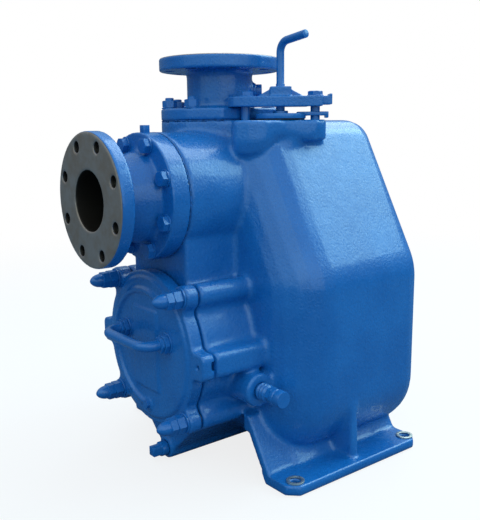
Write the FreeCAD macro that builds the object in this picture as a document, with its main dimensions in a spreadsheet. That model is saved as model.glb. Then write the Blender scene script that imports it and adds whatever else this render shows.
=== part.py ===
import FreeCAD, Part
import Sketcher
import math
import os
from types import SimpleNamespace
from FreeCAD import Placement, Rotation, Vector

# The pump stands on the floor at Z = 0. X = 0 is its centre plane, Y = 0 the middle of the foot holes.
# The suction flange and the clean-out cover face the front (-Y), the drive shaft leaves at the back (+Y).

# Driving dimensions in millimetres, with angles in degrees
SIZES = {
    # places of the two ports, the shaft and the machined faces
    "suction_face": 382, "front_plane": 251, "shaft_height": 227, "ports_clear": 16.7,
    "deck_clear": 19, "discharge_rise": 116, "discharge_left": 50, "discharge_forward": 71,
    # the four-inch pipe flanges
    "pipe_bore": 51, "flange_radius": 114.3, "flange_thick": 24, "flange_circle": 95.25,
    "flange_hole": 9.5, "flange_bolts": 8, "edge_break": 2,
    # feet
    "foot_hole_edge": 21.5, "foot_hole_y": 145, "foot_hole": 9.5, "foot_thick": 18, "foot_width": 70.5,
    "plate_width": 125, "foot_outer": 272.5, "foot_front": 170, "foot_rear": 165, "foot_corner": 18,
    "leg_length": 72, "leg_top": 113, "leg_low": 82, "leg_top_x": 153, "leg_plate": 14, "gusset_thick": 18,
    "gusset_edge": 17.5, "gusset_top": 130, "washer_radius": 16, "washer_thick": 3,
    # priming tank
    "tank_half_width": 250, "tank_front": 142, "tank_rear": 183, "tank_floor": 20, "tank_wall": 13,
    "shoulder_top": 106, "shoulder_low": 362, "shoulder_top_round": 60, "shoulder_low_round": 110,
    "belly_round": 120, "front_round": 90, "rear_round": 34,
    # suction neck of the casing and the column below it
    "neck_radius": 111, "valve_pocket": 74, "pocket_depth": 132, "pocket_wall": 13, "column_half": 88,
    "column_way_half": 62, "column_wall": 18, "column_way": 66,
    # pump chamber, tunnel of the rotating assembly, throat
    "chamber_radius": 128, "tunnel_radius": 134, "tunnel_wall": 15, "throat_half": 34,
    "throat_middle": 92, "throat_rise": 183,
    # front housing and clean-out cover
    "cover_radius": 142, "lobe_radius": 21, "lobe_offset": 111, "ear_reach": 173, "ear_half": 23.5,
    "ear_corner": 12, "ear_hole": 4, "ear_hole_x": 156, "outline_round": 12,
    "rim_front": 279, "rim_back": 255, "face_front": 282, "face_radius": 119, "groove_radius": 112,
    "groove_half": 1.5, "spigot_radius": 127.6, "spigot_back": 231, "hollow_radius": 112,
    "hollow_floor": 249,
    "ring_section": 2, "ring_y": 243, "ring_groove": 123.6,
    "handle_half": 70, "handle_rise": 24, "handle_front": 330, "handle_rod": 8, "handle_bend": 24,
    "handle_collar": 13, "collar_thick": 5,
    "stud_radius": 10, "stud_front": 318, "stud_back": 217, "stud_clear": 1, "nut_gap": 0.05,
    "cover_washer": 19, "cover_washer_thick": 3, "nut_flats": 30, "nut_thick": 16, "cap_nut_length": 36,
    # wear plate
    "wear_front": 161, "wear_back": 149, "wear_eye": 52, "wear_clear": 1.5, "wear_post": 9,
    "wear_post_circle": 96, "wear_posts": 3,
    # suction adapter and its check valve
    "joint_radius": 111, "joint_front": 286.5, "joint_back": 252.5, "joint_circle": 96, "joint_bolts": 8,
    "bell_radius": 78.5, "bell_front": 300, "hub_radius": 67, "hub_end": 334, "gasket_inner": 76,
    "bolt_radius": 8, "bolt_flats": 24, "bolt_head": 10, "bolt_washer": 15, "bolt_washer_thick": 2.5,
    "hole_clear": 0.8, "thread_gap": 0.05, "joint_reach": 48.5, "joint_hole": 15,
    "vent_square": 12.5, "vent_height": 13, "vent_y": 269.5, "vent_shank": 5, "vent_depth": 12,
    "flap_radius": 59, "flap_front": 252.2, "flap_back": 246, "front_weight": 42, "rear_weight": 48,
    "weight_thick": 9, "weight_bolt": 6, "weight_head": 18, "weight_head_thick": 7,
    "hinge_y": 241, "hinge_rise": 66, "hinge_pin": 5, "hinge_knuckle": 9.5, "knuckle_half": 20,
    "pin_half": 44, "running_gap": 0.06, "recess_half": 24, "recess_rise": 16, "recess_depth": 25,
    # discharge adapter
    "base_radius": 113, "base_rise": 23, "base_flat": 94, "base_circle": 98, "base_studs": 6,
    "base_pitch": 45, "base_first": 67.5, "base_reach": 33, "base_hole": 12, "stud_tip": 5,
    "nut_height": 13,
    "pad_depth": 70, "pad_taper": 80, "pad_tail": 60, "gasket_thick": 1.5, "discharge_neck": 62.5,
    "neck_round": 5, "tap_drop": 60, "tap_turn": 52, "tap_boss": 15, "tap_reach": 70, "tap_bore": 8,
    "tap_flats": 22, "tap_head": 11, "tap_shank": 13,
    # fill port and its clamp
    "fill_x": 92, "fill_forward": 40, "fill_turn": 52, "fill_bore": 31, "fill_neck": 42,
    "fill_depth": 52, "clamp_spacing": 63, "left_lobe": 21, "right_lobe": 20, "left_lobe_depth": 66,
    "right_lobe_depth": 37, "lobe_bridge": 25, "fill_gap": 0.2, "fill_gasket_thick": 2,
    "fill_gasket_outer": 44, "fill_cover_thick": 9, "fill_cover_radius": 46, "fill_boss": 14,
    "fill_boss_rise": 5, "socket_depth": 4, "tongue_drop": 4, "tongue_thick": 7,
    "tongue_start": 30, "tongue_reach": 86, "tongue_half": 13, "tongue_lip": 5, "lip_drop": 4.2,
    "slot_half": 9.5, "slot_extra": 3, "bar_gap": 7.2, "bar_thick": 18, "bar_half": 26, "bar_round": 70,
    "bar_reach": 74, "bar_tab": 92, "tab_half": 17, "tab_drop": 15, "tab_lip": 5, "tab_rise": 4,
    "hub_rise": 17, "bar_hub_half": 19, "rib_reach": 43, "rib_half": 6, "rib_drop": 4.4,
    "clamp_bolt": 8.5, "clamp_gap": 0.1, "clamp_bolt_depth": 28, "clamp_head_flats": 24, "clamp_head": 9,
    "screw_radius": 8, "screw_thread_rise": 5, "screw_tip": 6, "screw_rod": 7, "screw_bend_rise": 76.6,
    "screw_bend": 20, "screw_arm": 66, "screw_rise": 8,
    # drain plug, side boss with its capped nipple
    "drain_height": 22, "drain_boss": 21, "drain_bore": 12, "drain_collar": 14, "drain_collar_front": 263,
    "drain_square": 17, "drain_head_front": 281, "drain_depth": 70, "drain_thread": 22, "keel_half": 112,
    "keel_top": 108, "keel_front": 245, "drain_rise_y": 192, "drain_boss_length": 200,
    "side_y": 167, "side_height": 170, "side_boss": 30, "side_boss_end": 186, "side_bore": 9,
    "nipple_radius": 12, "nipple_start": 170, "nipple_end": 212, "nipple_ridge": 13.5,
    "nipple_hex": 30, "nipple_hex_end": 221, "side_cap": 15, "side_cap_end": 246,
    # rotating assembly
    "impeller_radius": 121, "vane_front": 147.5, "vane_depth": 52, "vane_half": 5.5, "vane_twist": 150,
    "shroud_front": 95.5, "shroud_back": 84.5, "hub_back": 70.5, "impeller_hub": 32, "boss_front": 125,
    "boss_radius": 24, "boss_root": 30, "shaft_nose": 16, "nose_front": 105, "screw_shank": 8,
    "seal_plate_front": 80, "seal_plate_back": 60, "seal_hub_back": 20, "plate_radius": 133.7,
    "plate_bore": 34, "cartridge_radius": 62, "cartridge_bore": 44, "seat_front": 58, "seat_back": 46,
    "seat_bore": 24, "head_front": 45.9, "head_back": 30, "head_radius": 36, "bellows_end": 4,
    "bellows_radius": 34, "bellows_root": 28, "collar_end": 14,
    "pilot_front": 160, "flange_front": 185, "flange_back": 205, "rear_flange": 164, "rear_circle": 149,
    "rear_bolts": 8, "rear_reach": 33, "barrel_radius": 80, "barrel_end": 300, "cap_radius": 86,
    "cap_end": 314, "cap_spigot": 49.9, "cap_circle": 66, "cap_screw": 4, "cap_screws": 6,
    "cap_reach": 30, "cap_screw_head": 7, "cap_head_height": 8,
    "shaft_end": 372, "drive_radius": 19.05, "sleeve_radius": 22, "tail_radius": 21, "shoulder_radius": 29,
    "fit_gap": 0.04, "oil_seal_outer": 32, "oil_seal_front": 302, "oil_seal_back": 312,
    "front_bearing_start": 204, "front_bearing_end": 224, "front_bore": 25, "front_outer": 45,
    "rear_bearing_start": 238, "rear_bearing_end": 278, "rear_bore": 22.5, "rear_outer": 50,
    "roller_radius": 5.5, "roller_half": 7, "race_gap": 0.06, "rollers": 10,
    "key_half": 4.75, "key_start": 325, "key_end": 365, "key_low": 15,
    "sight_y": 250, "sight_boss": 18, "sight_face": 84, "sight_radius": 15, "sight_end": 90,
    "vent_boss": 12, "vent_rise": 84, "vent_cap": 10, "vent_cap_height": 14,
}

# Places that follow from the driving dimensions, each a sum of them
PLACES = {
    "suction_height": "shaft_height + cover_radius + flange_radius + ports_clear",
    "top_plane": "suction_height + neck_radius + deck_clear",
    "discharge_face": "top_plane + discharge_rise",
    "foot_hole_x": "foot_outer - foot_hole_edge",
    "foot_inner": "foot_outer - foot_width",
    "gusset_reach": "foot_outer - gusset_edge",
    "throat_top": "shaft_height + throat_rise",
    "handle_height": "shaft_height + handle_rise",
    "hinge_z": "suction_height + hinge_rise",
    "recess_top": "hinge_z + recess_rise",
    "base_top": "top_plane + base_rise",
    "pad_low": "top_plane - pad_depth",
    "tap_height": "discharge_face - tap_drop",
    "fill_gasket_low": "top_plane + fill_gap",
    "fill_cover_low": "fill_gasket_low + fill_gasket_thick",
    "fill_cover_top": "fill_cover_low + fill_cover_thick",
    "fill_boss_top": "fill_cover_top + fill_boss_rise",
    "socket_floor": "fill_boss_top - socket_depth",
    "tongue_low": "fill_cover_top - tongue_drop",
    "tongue_top": "tongue_low + tongue_thick",
    "lip_low": "tongue_low - lip_drop",
    "bar_low": "fill_boss_top + bar_gap",
    "bar_top": "bar_low + bar_thick",
    "tab_low": "bar_top - tab_drop",
    "tab_top": "bar_top + tab_rise",
    "bar_hub_top": "bar_top + hub_rise",
    "rib_top": "bar_hub_top - rib_drop",
    "clamp_bolt_low": "top_plane - clamp_bolt_depth",
    "screw_top": "bar_hub_top + screw_thread_rise",
    "screw_bend_height": "bar_hub_top + screw_bend_rise",
}

FULL_TURN = 360.0

doc = FreeCAD.newDocument("SelfPrimingPump")
sheet = doc.addObject("Spreadsheet::Sheet", "Sizes")
CELLS = {alias: str(value) for alias, value in SIZES.items()}
CELLS.update({alias: "=" + text for alias, text in PLACES.items()})
for row, (alias, text) in enumerate(CELLS.items(), 1):
    sheet.set(f"A{row}", alias.replace("_", " "))
    sheet.set(f"B{row}", text)
    sheet.setAlias(f"B{row}", alias)
doc.recompute()
S = SimpleNamespace(**{alias: float(sheet.get(alias)) for alias in CELLS})

UPRIGHT = Rotation()
TURN = {
    "up": UPRIGHT,
    "back": Rotation(Vector(1, 0, 0), -90),
    "front": Rotation(Vector(1, 0, 0), 90),
    "right": Rotation(Vector(0, 1, 0), 90),
    "bar": Rotation(Vector(0, 0, 1), S.fill_turn),
    "tap": Rotation(Vector(0, 0, 1), S.tap_turn) * Rotation(Vector(0, 1, 0), 90),
}
TURN["bar side"] = TURN["bar"] * TURN["front"]
# A turned profile is drawn about its own Y axis
SPIN = {
    "back": UPRIGHT,
    "up": Rotation(Vector(1, 0, 0), 90),
    "right": Rotation(Vector(0, 0, 1), -90),
}


def cells(text):
    """Writes each size of a sum of products as a cell of the sheet."""
    return " ".join("Sizes." + word if word in CELLS else word for word in text.split())


def number(text):
    """Value of a sum of products such as 'wall * 2 + bore'."""
    total, term, action = 0.0, 0.0, "+"
    for word in text.split():
        if word in "+-*/":
            action = word
            continue
        value = getattr(S, word) if word in CELLS else float(word)
        if action == "+":
            total, term = total + term, value
        elif action == "-":
            total, term = total + term, -value
        elif action == "*":
            term = term * value
        else:
            term = term / value
    return total + term


def minus(text):
    """The same sum of products with its sign changed."""
    flip = {"+": "-", "-": "+"}
    return "0 - " + " ".join(flip.get(word, word) for word in text.split())


def place(obj, spot, turn=UPRIGHT):
    """Puts an object at a spot given as three expressions."""
    obj.Placement = Placement(Vector(*[number(text) for text in spot]), turn)
    for axis, text in zip("xyz", spot):
        obj.setExpression("Placement.Base." + axis, cells(text))
    return obj


def cylinder(name, radius, length, spot, along="up"):
    obj = doc.addObject("Part::Cylinder", name)
    obj.setExpression("Radius", cells(radius))
    obj.setExpression("Height", cells(length))
    return place(obj, spot, TURN[along])


def block(name, size, spot, turn=UPRIGHT):
    """A box whose low corner is at the spot."""
    obj = doc.addObject("Part::Box", name)
    for side, text in zip(("Length", "Width", "Height"), size):
        obj.setExpression(side, cells(text))
    return place(obj, spot, turn)


def hexagon(name, flats, length, spot, along="up"):
    obj = doc.addObject("Part::Prism", name)
    obj.Polygon = 6
    obj.setExpression("Circumradius", cells(flats + " / 1.7320508"))
    obj.setExpression("Height", cells(length))
    return place(obj, spot, TURN[along])


def outline(body, name, points):
    """A closed sketch on the body's XY plane, each corner held by two sizes."""
    sketch = body.newObject("Sketcher::SketchObject", name)
    plane = [item for item in body.Origin.OriginFeatures if item.Role == "XY_Plane"][0]
    sketch.AttachmentSupport = [(plane, "")]
    sketch.MapMode = "FlatFace"
    corners = [Vector(number(a), number(b), 0) for a, b in points]
    count = len(corners)
    for index in range(count):
        sketch.addGeometry(Part.LineSegment(corners[index], corners[(index + 1) % count]), False)
    links = []
    for index in range(count):
        links.append(Sketcher.Constraint("Coincident", index, 2, (index + 1) % count, 1))
    sketch.addConstraint(links)
    for index, (a, b) in enumerate(points):
        for kind, text, value in (("DistanceX", a, corners[index].x), ("DistanceY", b, corners[index].y)):
            number_of = sketch.addConstraint(Sketcher.Constraint(kind, -1, 1, index, 1, value))
            sketch.setExpression(f"Constraints[{number_of}]", cells(text))
    return sketch


def turned(name, points, spot=("0", "0", "0"), along="back"):
    """A body of revolution from (radius, distance along its axis) corners."""
    body = doc.addObject("PartDesign::Body", name)
    sketch = outline(body, name + "_profile", points)
    spin = body.newObject("PartDesign::Revolution", name + "_turn")
    spin.Profile = sketch
    spin.ReferenceAxis = (sketch, ["V_Axis"])
    spin.Angle = FULL_TURN
    return place(body, spot, SPIN[along])


def padded(name, points, depth, spot=("0", "0", "0"), facing="front"):
    """A body padded from an outline: drawn in X and Z for the front, in X and Y for the top."""
    body = doc.addObject("PartDesign::Body", name)
    sketch = outline(body, name + "_outline", points)
    pad = body.newObject("PartDesign::Pad", name + "_pad")
    pad.Profile = sketch
    pad.setExpression("Length", cells(depth))
    return place(body, spot, TURN[facing])


def fused(name, pieces):
    obj = doc.addObject("Part::MultiFuse", name)
    obj.Shapes = pieces
    return obj


def cut(name, base, tools):
    tool = tools[0] if len(tools) == 1 else fused(name + "_tools", tools)
    obj = doc.addObject("Part::Cut", name)
    obj.Base = base
    obj.Tool = tool
    return obj


def solid(name, shape):
    obj = doc.addObject("Part::Feature", name)
    obj.Shape = shape
    return obj


def group(name, master, places):
    """Copies of one piece as separate solids of one node."""
    doc.recompute()
    copies = []
    for where in places:
        copy = master.Shape.copy()
        copy.Placement = where.multiply(master.Shape.Placement)
        copies.append(copy)
    return solid(name, Part.makeCompound(copies))


def ring_places(count, radius, first, centre, turn):
    """Placements round a circle in the XY plane of the given turn."""
    result = []
    for index in range(int(count)):
        angle = math.radians(first + index * FULL_TURN / count)
        offset = turn.multVec(Vector(radius * math.cos(angle), radius * math.sin(angle), 0))
        result.append(Placement(centre + offset, turn))
    return result


NODES = []


def node(obj, label):
    """Marks an object as a finished piece of the pump."""
    obj.Label = label
    NODES.append(obj)
    return obj


AXIS = ("0", "0", "shaft_height")
SUCTION = ("0", "0", "suction_height")
FRONT = "0 - front_plane"
SHAFT_CENTRE = Vector(0, 0, S.shaft_height)
SUCTION_CENTRE = Vector(0, 0, S.suction_height)
DISCHARGE_CENTRE = Vector(-S.discharge_left, -S.discharge_forward, 0)
FILL_CENTRE = Vector(S.fill_x, -S.fill_forward, 0)
FILL_SPOT = ("fill_x", "0 - fill_forward")
DISCHARGE_SPOT = ("0 - discharge_left", "0 - discharge_forward")


# Priming tank: the outline seen from the front, drawn in again for its inside
def tank_outline(inset, distance):
    """Closed wire of the tank at one distance along Y, drawn in by an inset."""
    slope = math.atan2(S.tank_half_width - S.shoulder_top, S.top_plane - S.shoulder_low)
    along, normal = Vector(math.sin(slope), 0, -math.cos(slope)), Vector(math.cos(slope), 0,
                                                                         math.sin(slope))
    start = Vector(S.shoulder_top, 0, S.top_plane) - normal * inset
    top, side, floor = S.top_plane - inset, S.tank_half_width - inset, S.tank_floor + inset
    upper = start + along * ((start.z - top) / math.cos(slope))
    lower = start + along * ((side - start.x) / math.sin(slope))
    corners = [(upper.x, top, S.shoulder_top_round), (side, lower.z, S.shoulder_low_round),
               (side, floor, S.belly_round)]
    smallest = S.edge_break * 2
    points = [(x, z, max(r - inset, smallest)) for x, z, r in corners]
    points += [(-x, z, r) for x, z, r in reversed(points)]
    return rounded_wire([(Vector(x, distance, z), r) for x, z, r in points])


def rounded_wire(corners):
    """Closed wire through corners, each rounded by its own radius."""
    count = len(corners)
    ends = []
    for index, (point, radius) in enumerate(corners):
        before = (corners[index - 1][0] - point).normalize()
        after = (corners[(index + 1) % count][0] - point).normalize()
        half = before.getAngle(after) / 2
        reach = radius / math.tan(half)
        middle = (before + after).normalize() * (radius / math.sin(half) - radius)
        ends.append((point + before * reach, point + middle, point + after * reach))
    edges = []
    for index in range(count):
        first, middle, last = ends[index]
        edges.append(Part.Arc(first, middle, last).toShape())
        edges.append(Part.LineSegment(last, ends[(index + 1) % count][0]).toShape())
    return Part.Wire(edges)


def tank_body(inset, front_steps, rear_steps):
    """The tank's form, drawn in by a large round at the front and a small one at the back."""
    front, rear = inset - S.tank_front, S.tank_rear - inset
    bend, back_bend = S.front_round - inset, S.rear_round - inset
    sections = []
    for step in range(front_steps + 1):
        angle = math.radians(90.0 * step / front_steps)
        draw = inset + bend * (1 - math.sin(angle))
        sections.append(tank_outline(draw, front + bend * (1 - math.cos(angle))))
    for step in range(rear_steps + 1):
        angle = math.radians(90.0 * step / rear_steps)
        draw = inset + back_bend * (1 - math.cos(angle))
        sections.append(tank_outline(draw, rear - back_bend * (1 - math.sin(angle))))
    return Part.makeLoft(sections, True, True)


tank_outer = solid("TankOuter", tank_body(0, 6, 3))
tank_inner = solid("TankInner", tank_body(S.tank_wall, 4, 2))


# Clean-out outline: a disc with four stud lobes and two ears, its hollow corners rounded
def flat_disc(radius, x, z):
    circle = Part.Circle(Vector(x, 0, z), Vector(0, -1, 0), radius)
    return Part.Face(Part.Wire(circle.toShape()))


def lobed_face():
    """The outline of the cover in the XZ plane about the shaft's axis."""
    pieces = []
    for sign_x in (-1, 1):
        for sign_z in (-1, 1):
            x, z = sign_x * S.lobe_offset, sign_z * S.lobe_offset
            pieces.append(flat_disc(S.lobe_radius, x, z))
            across = Vector(-sign_z, 0, sign_x).normalize() * S.lobe_radius
            lobe = Vector(x, 0, z)
            corners = [across, lobe + across, lobe - across, across * -1, across]
            pieces.append(Part.Face(Part.makePolygon(corners)))
    reach, half = S.ear_reach, S.ear_half
    ears = [Vector(-reach, 0, -half), Vector(reach, 0, -half), Vector(reach, 0, half),
            Vector(-reach, 0, half)]
    pieces.append(Part.Face(rounded_wire([(corner, S.ear_corner) for corner in ears])))
    slabs = [piece.extrude(Vector(0, -1, 0)) for piece in pieces]
    slab = flat_disc(S.cover_radius, 0, 0).extrude(Vector(0, -1, 0)).fuse(slabs).removeSplitter()
    back_faces = [face for face in slab.Faces if abs(face.BoundBox.YMin) < 0.01]
    grown = back_faces[0].makeOffset2D(S.outline_round)
    return grown.Faces[0].makeOffset2D(-S.outline_round).Faces[0]


cover_outline = solid("CoverOutline", lobed_face())


def lobed(name, depth, back):
    """The outline padded towards the front from a distance along Y."""
    obj = doc.addObject("Part::Extrusion", name)
    obj.Base = cover_outline
    obj.DirMode = "Custom"
    obj.Dir = Vector(0, -1, 0)
    obj.setExpression("LengthFwd", cells(depth))
    obj.Solid = True
    return place(obj, ("0", back, "shaft_height"))


def beside(centre, reach, turn):
    """Two expressions for a spot at a reach from a centre, turned in the XY plane."""
    spot = []
    for text, factor in zip(centre, (math.cos(math.radians(turn)), math.sin(math.radians(turn)))):
        sign = "+"
        for word in reach.split():
            if word in "+-":
                sign = word
            else:
                text += f" {sign} {word} * {factor:.9f}"
        spot.append(text)
    return tuple(spot)


def bar_spot(reach, side, height):
    """A spot by its reach along the clamp bar's line and its distance to the far side of it."""
    middle = beside(FILL_SPOT, reach, S.fill_turn)
    return beside(middle, side, S.fill_turn + 90) + (height,)


# Casing: the outside forms
housing = lobed("Housing", "front_plane - tank_front + front_round", "0 - tank_front + front_round")
neck = cylinder("Neck", "neck_radius", "front_plane", ("0", FRONT, "suction_height"), "back")
column = block("Column", ("column_half * 2", "front_plane", "suction_height - shaft_height"),
               ("0 - column_half", FRONT, "shaft_height"))
discharge_pad = cylinder("DischargePad", "base_radius", "top_plane - pad_low",
                         DISCHARGE_SPOT + ("pad_low",))
pad_tail = turned("PadTail", [("0", "pad_low - pad_taper"), ("pad_tail", "pad_low - pad_taper"),
                              ("base_radius", "pad_low"), ("0", "pad_low")], DISCHARGE_SPOT + ("0",), "up")
left_spot = beside(FILL_SPOT, "0 - clamp_spacing", S.fill_turn)
right_spot = beside(FILL_SPOT, "clamp_spacing", S.fill_turn)
CLAMP_SPOTS = [Vector(number(x), number(y), 0) for x, y in (left_spot, right_spot)]
fill_lobes = [
    cylinder("LobeLeft", "left_lobe", "left_lobe_depth", left_spot + ("top_plane - left_lobe_depth",)),
    cylinder("LobeRight", "right_lobe", "right_lobe_depth", right_spot + ("top_plane - right_lobe_depth",)),
]
fill_neck = cylinder("FillNeck", "fill_neck", "fill_depth", FILL_SPOT + ("top_plane - fill_depth",))
fill_bridge = block("FillBridge", ("clamp_spacing * 2", "lobe_bridge * 2", "right_lobe_depth"),
                    bar_spot("0 - clamp_spacing", "0 - lobe_bridge", "top_plane - right_lobe_depth"),
                    TURN["bar"])
drain_boss = cylinder("DrainBoss", "drain_boss", "drain_boss_length", ("0", FRONT, "drain_height"), "back")
keel = padded("Keel", [("0 - keel_half", "keel_top"), ("0 - drain_boss", "drain_height"),
                       ("drain_boss", "drain_height"), ("keel_half", "keel_top"),
                       ("lobe_offset", "shaft_height"), ("0 - lobe_offset", "shaft_height")], "keel_front")
side_boss = cylinder("SideBoss", "side_boss", "side_boss_end", ("0", "0 - side_y", "side_height"), "right")
rear_pad = cylinder("RearPad", "rear_flange", "tank_wall * 2",
                    ("0", "flange_front - tank_wall * 2", "shaft_height"), "back")


def foot(name, side):
    """One foot: its plate with cut corners, two sloped legs and a gusset between them."""
    def mirrored(points):
        return points if side > 0 else [(minus(a), b) for a, b in points]

    plate = [("foot_outer - plate_width", "0 - foot_front"), ("foot_outer - foot_corner", "0 - foot_front"),
             ("foot_outer", "0 - foot_front + foot_corner"), ("foot_outer", "foot_rear - foot_corner"),
             ("foot_outer - foot_corner", "foot_rear"), ("foot_outer - plate_width", "foot_rear")]
    leg = [("foot_inner", "0"), ("foot_inner + leg_plate / 2", "0"),
           ("foot_inner + leg_plate / 2", "foot_thick"),
           ("leg_top_x", "leg_top"), ("leg_top_x - leg_plate", "leg_top"),
           ("leg_top_x - leg_plate", "leg_low"), ("leg_top_x", "leg_low")]
    gusset = [("foot_inner", "0"), ("gusset_reach", "0"), ("gusset_reach", "foot_thick"),
              ("tank_half_width", "gusset_top"), ("foot_inner", "gusset_top")]
    return [
        padded(name + "Foot", mirrored(plate), "foot_thick", facing="up"),
        padded(name + "FrontLeg", mirrored(leg), "leg_length", ("0", "leg_length - foot_front", "0")),
        padded(name + "RearLeg", mirrored(leg), "leg_length", ("0", "foot_rear", "0")),
        padded(name + "Gusset", mirrored(gusset), "gusset_thick", ("0", "gusset_thick / 2", "0")),
    ]


outside = fused("CasingOutside", [tank_outer, housing, neck, column, discharge_pad, pad_tail, fill_neck,
                                  fill_bridge, drain_boss, keel, side_boss, rear_pad]
                + fill_lobes + foot("Right", 1) + foot("Left", -1))

# Casing: the tank's space round the walls that stand in it
rear_length = "tank_rear + front_plane"
inner_walls = [
    cylinder("TunnelWall", "tunnel_radius + tunnel_wall", rear_length, ("0", FRONT, "shaft_height"),
             "back"),
    cylinder("PocketWall", "valve_pocket + pocket_wall", "pocket_depth + pocket_wall",
             ("0", FRONT, "suction_height"), "back"),
] + fill_lobes
tank_space = cut("TankSpace", tank_inner, inner_walls)


def holes(name, radius, depth, places):
    """Drilled holes, each from a placement down along its axis."""
    drill = cylinder(name + "Drill", radius, depth + " + edge_break", ("0", "0", minus(depth)))
    return group(name, drill, places)


JOINT_PLACES = ring_places(S.joint_bolts, S.joint_circle, FULL_TURN / S.joint_bolts / 2,
                           SUCTION_CENTRE + Vector(0, -S.front_plane, 0), TURN["front"])
BASE_PLACES = [Placement(DISCHARGE_CENTRE + Vector(S.base_circle * math.cos(math.radians(angle)),
                                                   S.base_circle * math.sin(math.radians(angle)),
                                                   S.top_plane), UPRIGHT)
               for angle in [S.base_first + S.base_pitch * index for index in range(int(S.base_studs))]]
STUD_PLACES = [Placement(SHAFT_CENTRE + Vector(x, -S.front_plane, z), TURN["front"])
               for x in (-S.lobe_offset, S.lobe_offset) for z in (-S.lobe_offset, S.lobe_offset)]
REAR_PLACES = ring_places(S.rear_bolts, S.rear_circle, FULL_TURN / S.rear_bolts / 2,
                          SHAFT_CENTRE + Vector(0, S.flange_front, 0), TURN["back"])
FOOT_PLACES = [Placement(Vector(x, y, S.foot_thick), UPRIGHT)
               for x in (-S.foot_hole_x, S.foot_hole_x) for y in (-S.foot_hole_y, S.foot_hole_y)]


def moved(places, offset):
    return [Placement(where.Base + offset, where.Rotation) for where in places]


# Casing: water ways, machined bores and drilled holes
openings = [
    tank_space,
    cylinder("Chamber", "chamber_radius", "front_plane - seal_plate_front - edge_break",
             ("0", FRONT, "shaft_height"), "back"),
    cylinder("Tunnel", "tunnel_radius", "flange_back + seal_plate_front + edge_break",
             ("0", "0 - seal_plate_front - edge_break", "shaft_height"), "back"),
    cylinder("ValvePocket", "valve_pocket", "pocket_depth", ("0", FRONT, "suction_height"), "back"),
    block("HingeRecess", ("recess_half * 2", "recess_depth", "recess_top - suction_height"),
          ("0 - recess_half", FRONT, "suction_height")),
    block("ColumnWay", ("column_way_half * 2", "column_way", "suction_height - shaft_height"),
          ("0 - column_way_half", "column_wall - front_plane", "shaft_height")),
    block("Throat", ("throat_half * 2", "vane_depth", "throat_top - shaft_height"),
          ("throat_middle - throat_half", "0 - vane_front + column_wall", "shaft_height")),
    cylinder("DischargeWay", "pipe_bore", "pad_taper * 2", DISCHARGE_SPOT + ("top_plane - pad_taper",)),
    cylinder("FillWay", "fill_bore", "pad_taper * 2", FILL_SPOT + ("top_plane - pad_taper",)),
    cylinder("DrainWay", "drain_bore", "drain_depth", ("0", FRONT, "drain_height"), "back"),
    cylinder("DrainRise", "drain_bore", "shaft_height - drain_height",
             ("0", "0 - drain_rise_y", "drain_height")),
    cylinder("SideWay", "side_bore", "side_boss_end", ("throat_middle", "0 - side_y", "side_height"),
             "right"),
    cylinder("NippleHole", "nipple_radius + thread_gap", "side_boss_end",
             ("nipple_start", "0 - side_y", "side_height"), "right"),
    cylinder("PinHole", "hinge_pin + thread_gap", "pin_half * 2",
             ("0 - pin_half", "0 - hinge_y", "hinge_z"), "right"),
    holes("JointHoles", "bolt_radius + thread_gap", "joint_hole", JOINT_PLACES),
    holes("BaseHoles", "bolt_radius + thread_gap", "base_hole", BASE_PLACES),
    holes("StudHoles", "stud_radius + thread_gap", "front_plane - stud_back", STUD_PLACES),
    holes("RearHoles", "bolt_radius + thread_gap", "rear_reach - flange_back + flange_front", REAR_PLACES),
    holes("FootHoles", "foot_hole", "foot_thick * 2", FOOT_PLACES),
    holes("ClampHoles", "clamp_bolt + thread_gap", "top_plane - clamp_bolt_low",
          [Placement(spot + Vector(0, 0, S.top_plane), UPRIGHT) for spot in CLAMP_SPOTS]),
]
casing = node(cut("Casing", outside, openings), "pump_casing")


def bolts(name, size, reach, washer, washer_thick, flats, head, tip, places):
    """Bolts or studs with nuts: the seat of each at its placement, the hexagon above it."""
    pieces = [
        cylinder(name + "Shank", size, f"{reach} + {washer_thick} + {head} + {tip}",
                 ("0", "0", minus(reach))),
        cylinder(name + "Washer", washer, washer_thick, ("0", "0", "0")),
        hexagon(name + "Hex", flats, head, ("0", "0", washer_thick)),
    ]
    return group(name, fused(name + "One", pieces), places)


def flange_holes(name, centre, turn):
    """The through holes of a four-inch flange."""
    drill = cylinder(name + "Drill", "flange_hole", "flange_thick * 3", ("0", "0", "0 - flange_thick"))
    return group(name, drill, ring_places(S.flange_bolts, S.flange_circle, FULL_TURN / S.flange_bolts / 2,
                                          centre, turn))


# Suction adapter with its gasket, bolts and vent plug
suction_form = turned("SuctionForm", [
    ("pipe_bore", "0 - suction_face"), ("flange_radius - edge_break", "0 - suction_face"),
    ("flange_radius", "edge_break - suction_face"), ("flange_radius", "flange_thick - suction_face"),
    ("hub_radius", "flange_thick - suction_face"), ("hub_radius", "0 - hub_end"),
    ("bell_radius", "0 - bell_front"), ("bell_radius + edge_break", "0 - joint_front"),
    ("joint_radius", "0 - joint_front"), ("joint_radius", "0 - joint_back"),
    ("pipe_bore", "0 - joint_back")], SUCTION)
vent_top = ("0", "0 - vent_y", "suction_height + joint_radius - vent_depth")
node(cut("SuctionAdapter", suction_form, [
    flange_holes("SuctionFlangeHoles", SUCTION_CENTRE + Vector(0, -S.suction_face, 0), TURN["front"]),
    holes("JointThrough", "bolt_radius + hole_clear", "joint_front - joint_back + edge_break",
          moved(JOINT_PLACES, Vector(0, S.front_plane - S.joint_front, 0))),
    cylinder("VentHole", "vent_shank + thread_gap", "vent_depth * 2", vent_top),
    block("VentFlat", ("vent_square * 1.6", "vent_square * 1.6", "vent_depth"),
          ("0 - vent_square * 0.8", "0 - vent_y - vent_square * 0.8",
           "suction_height + joint_radius - edge_break / 2")),
]), "suction_adapter")
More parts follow.
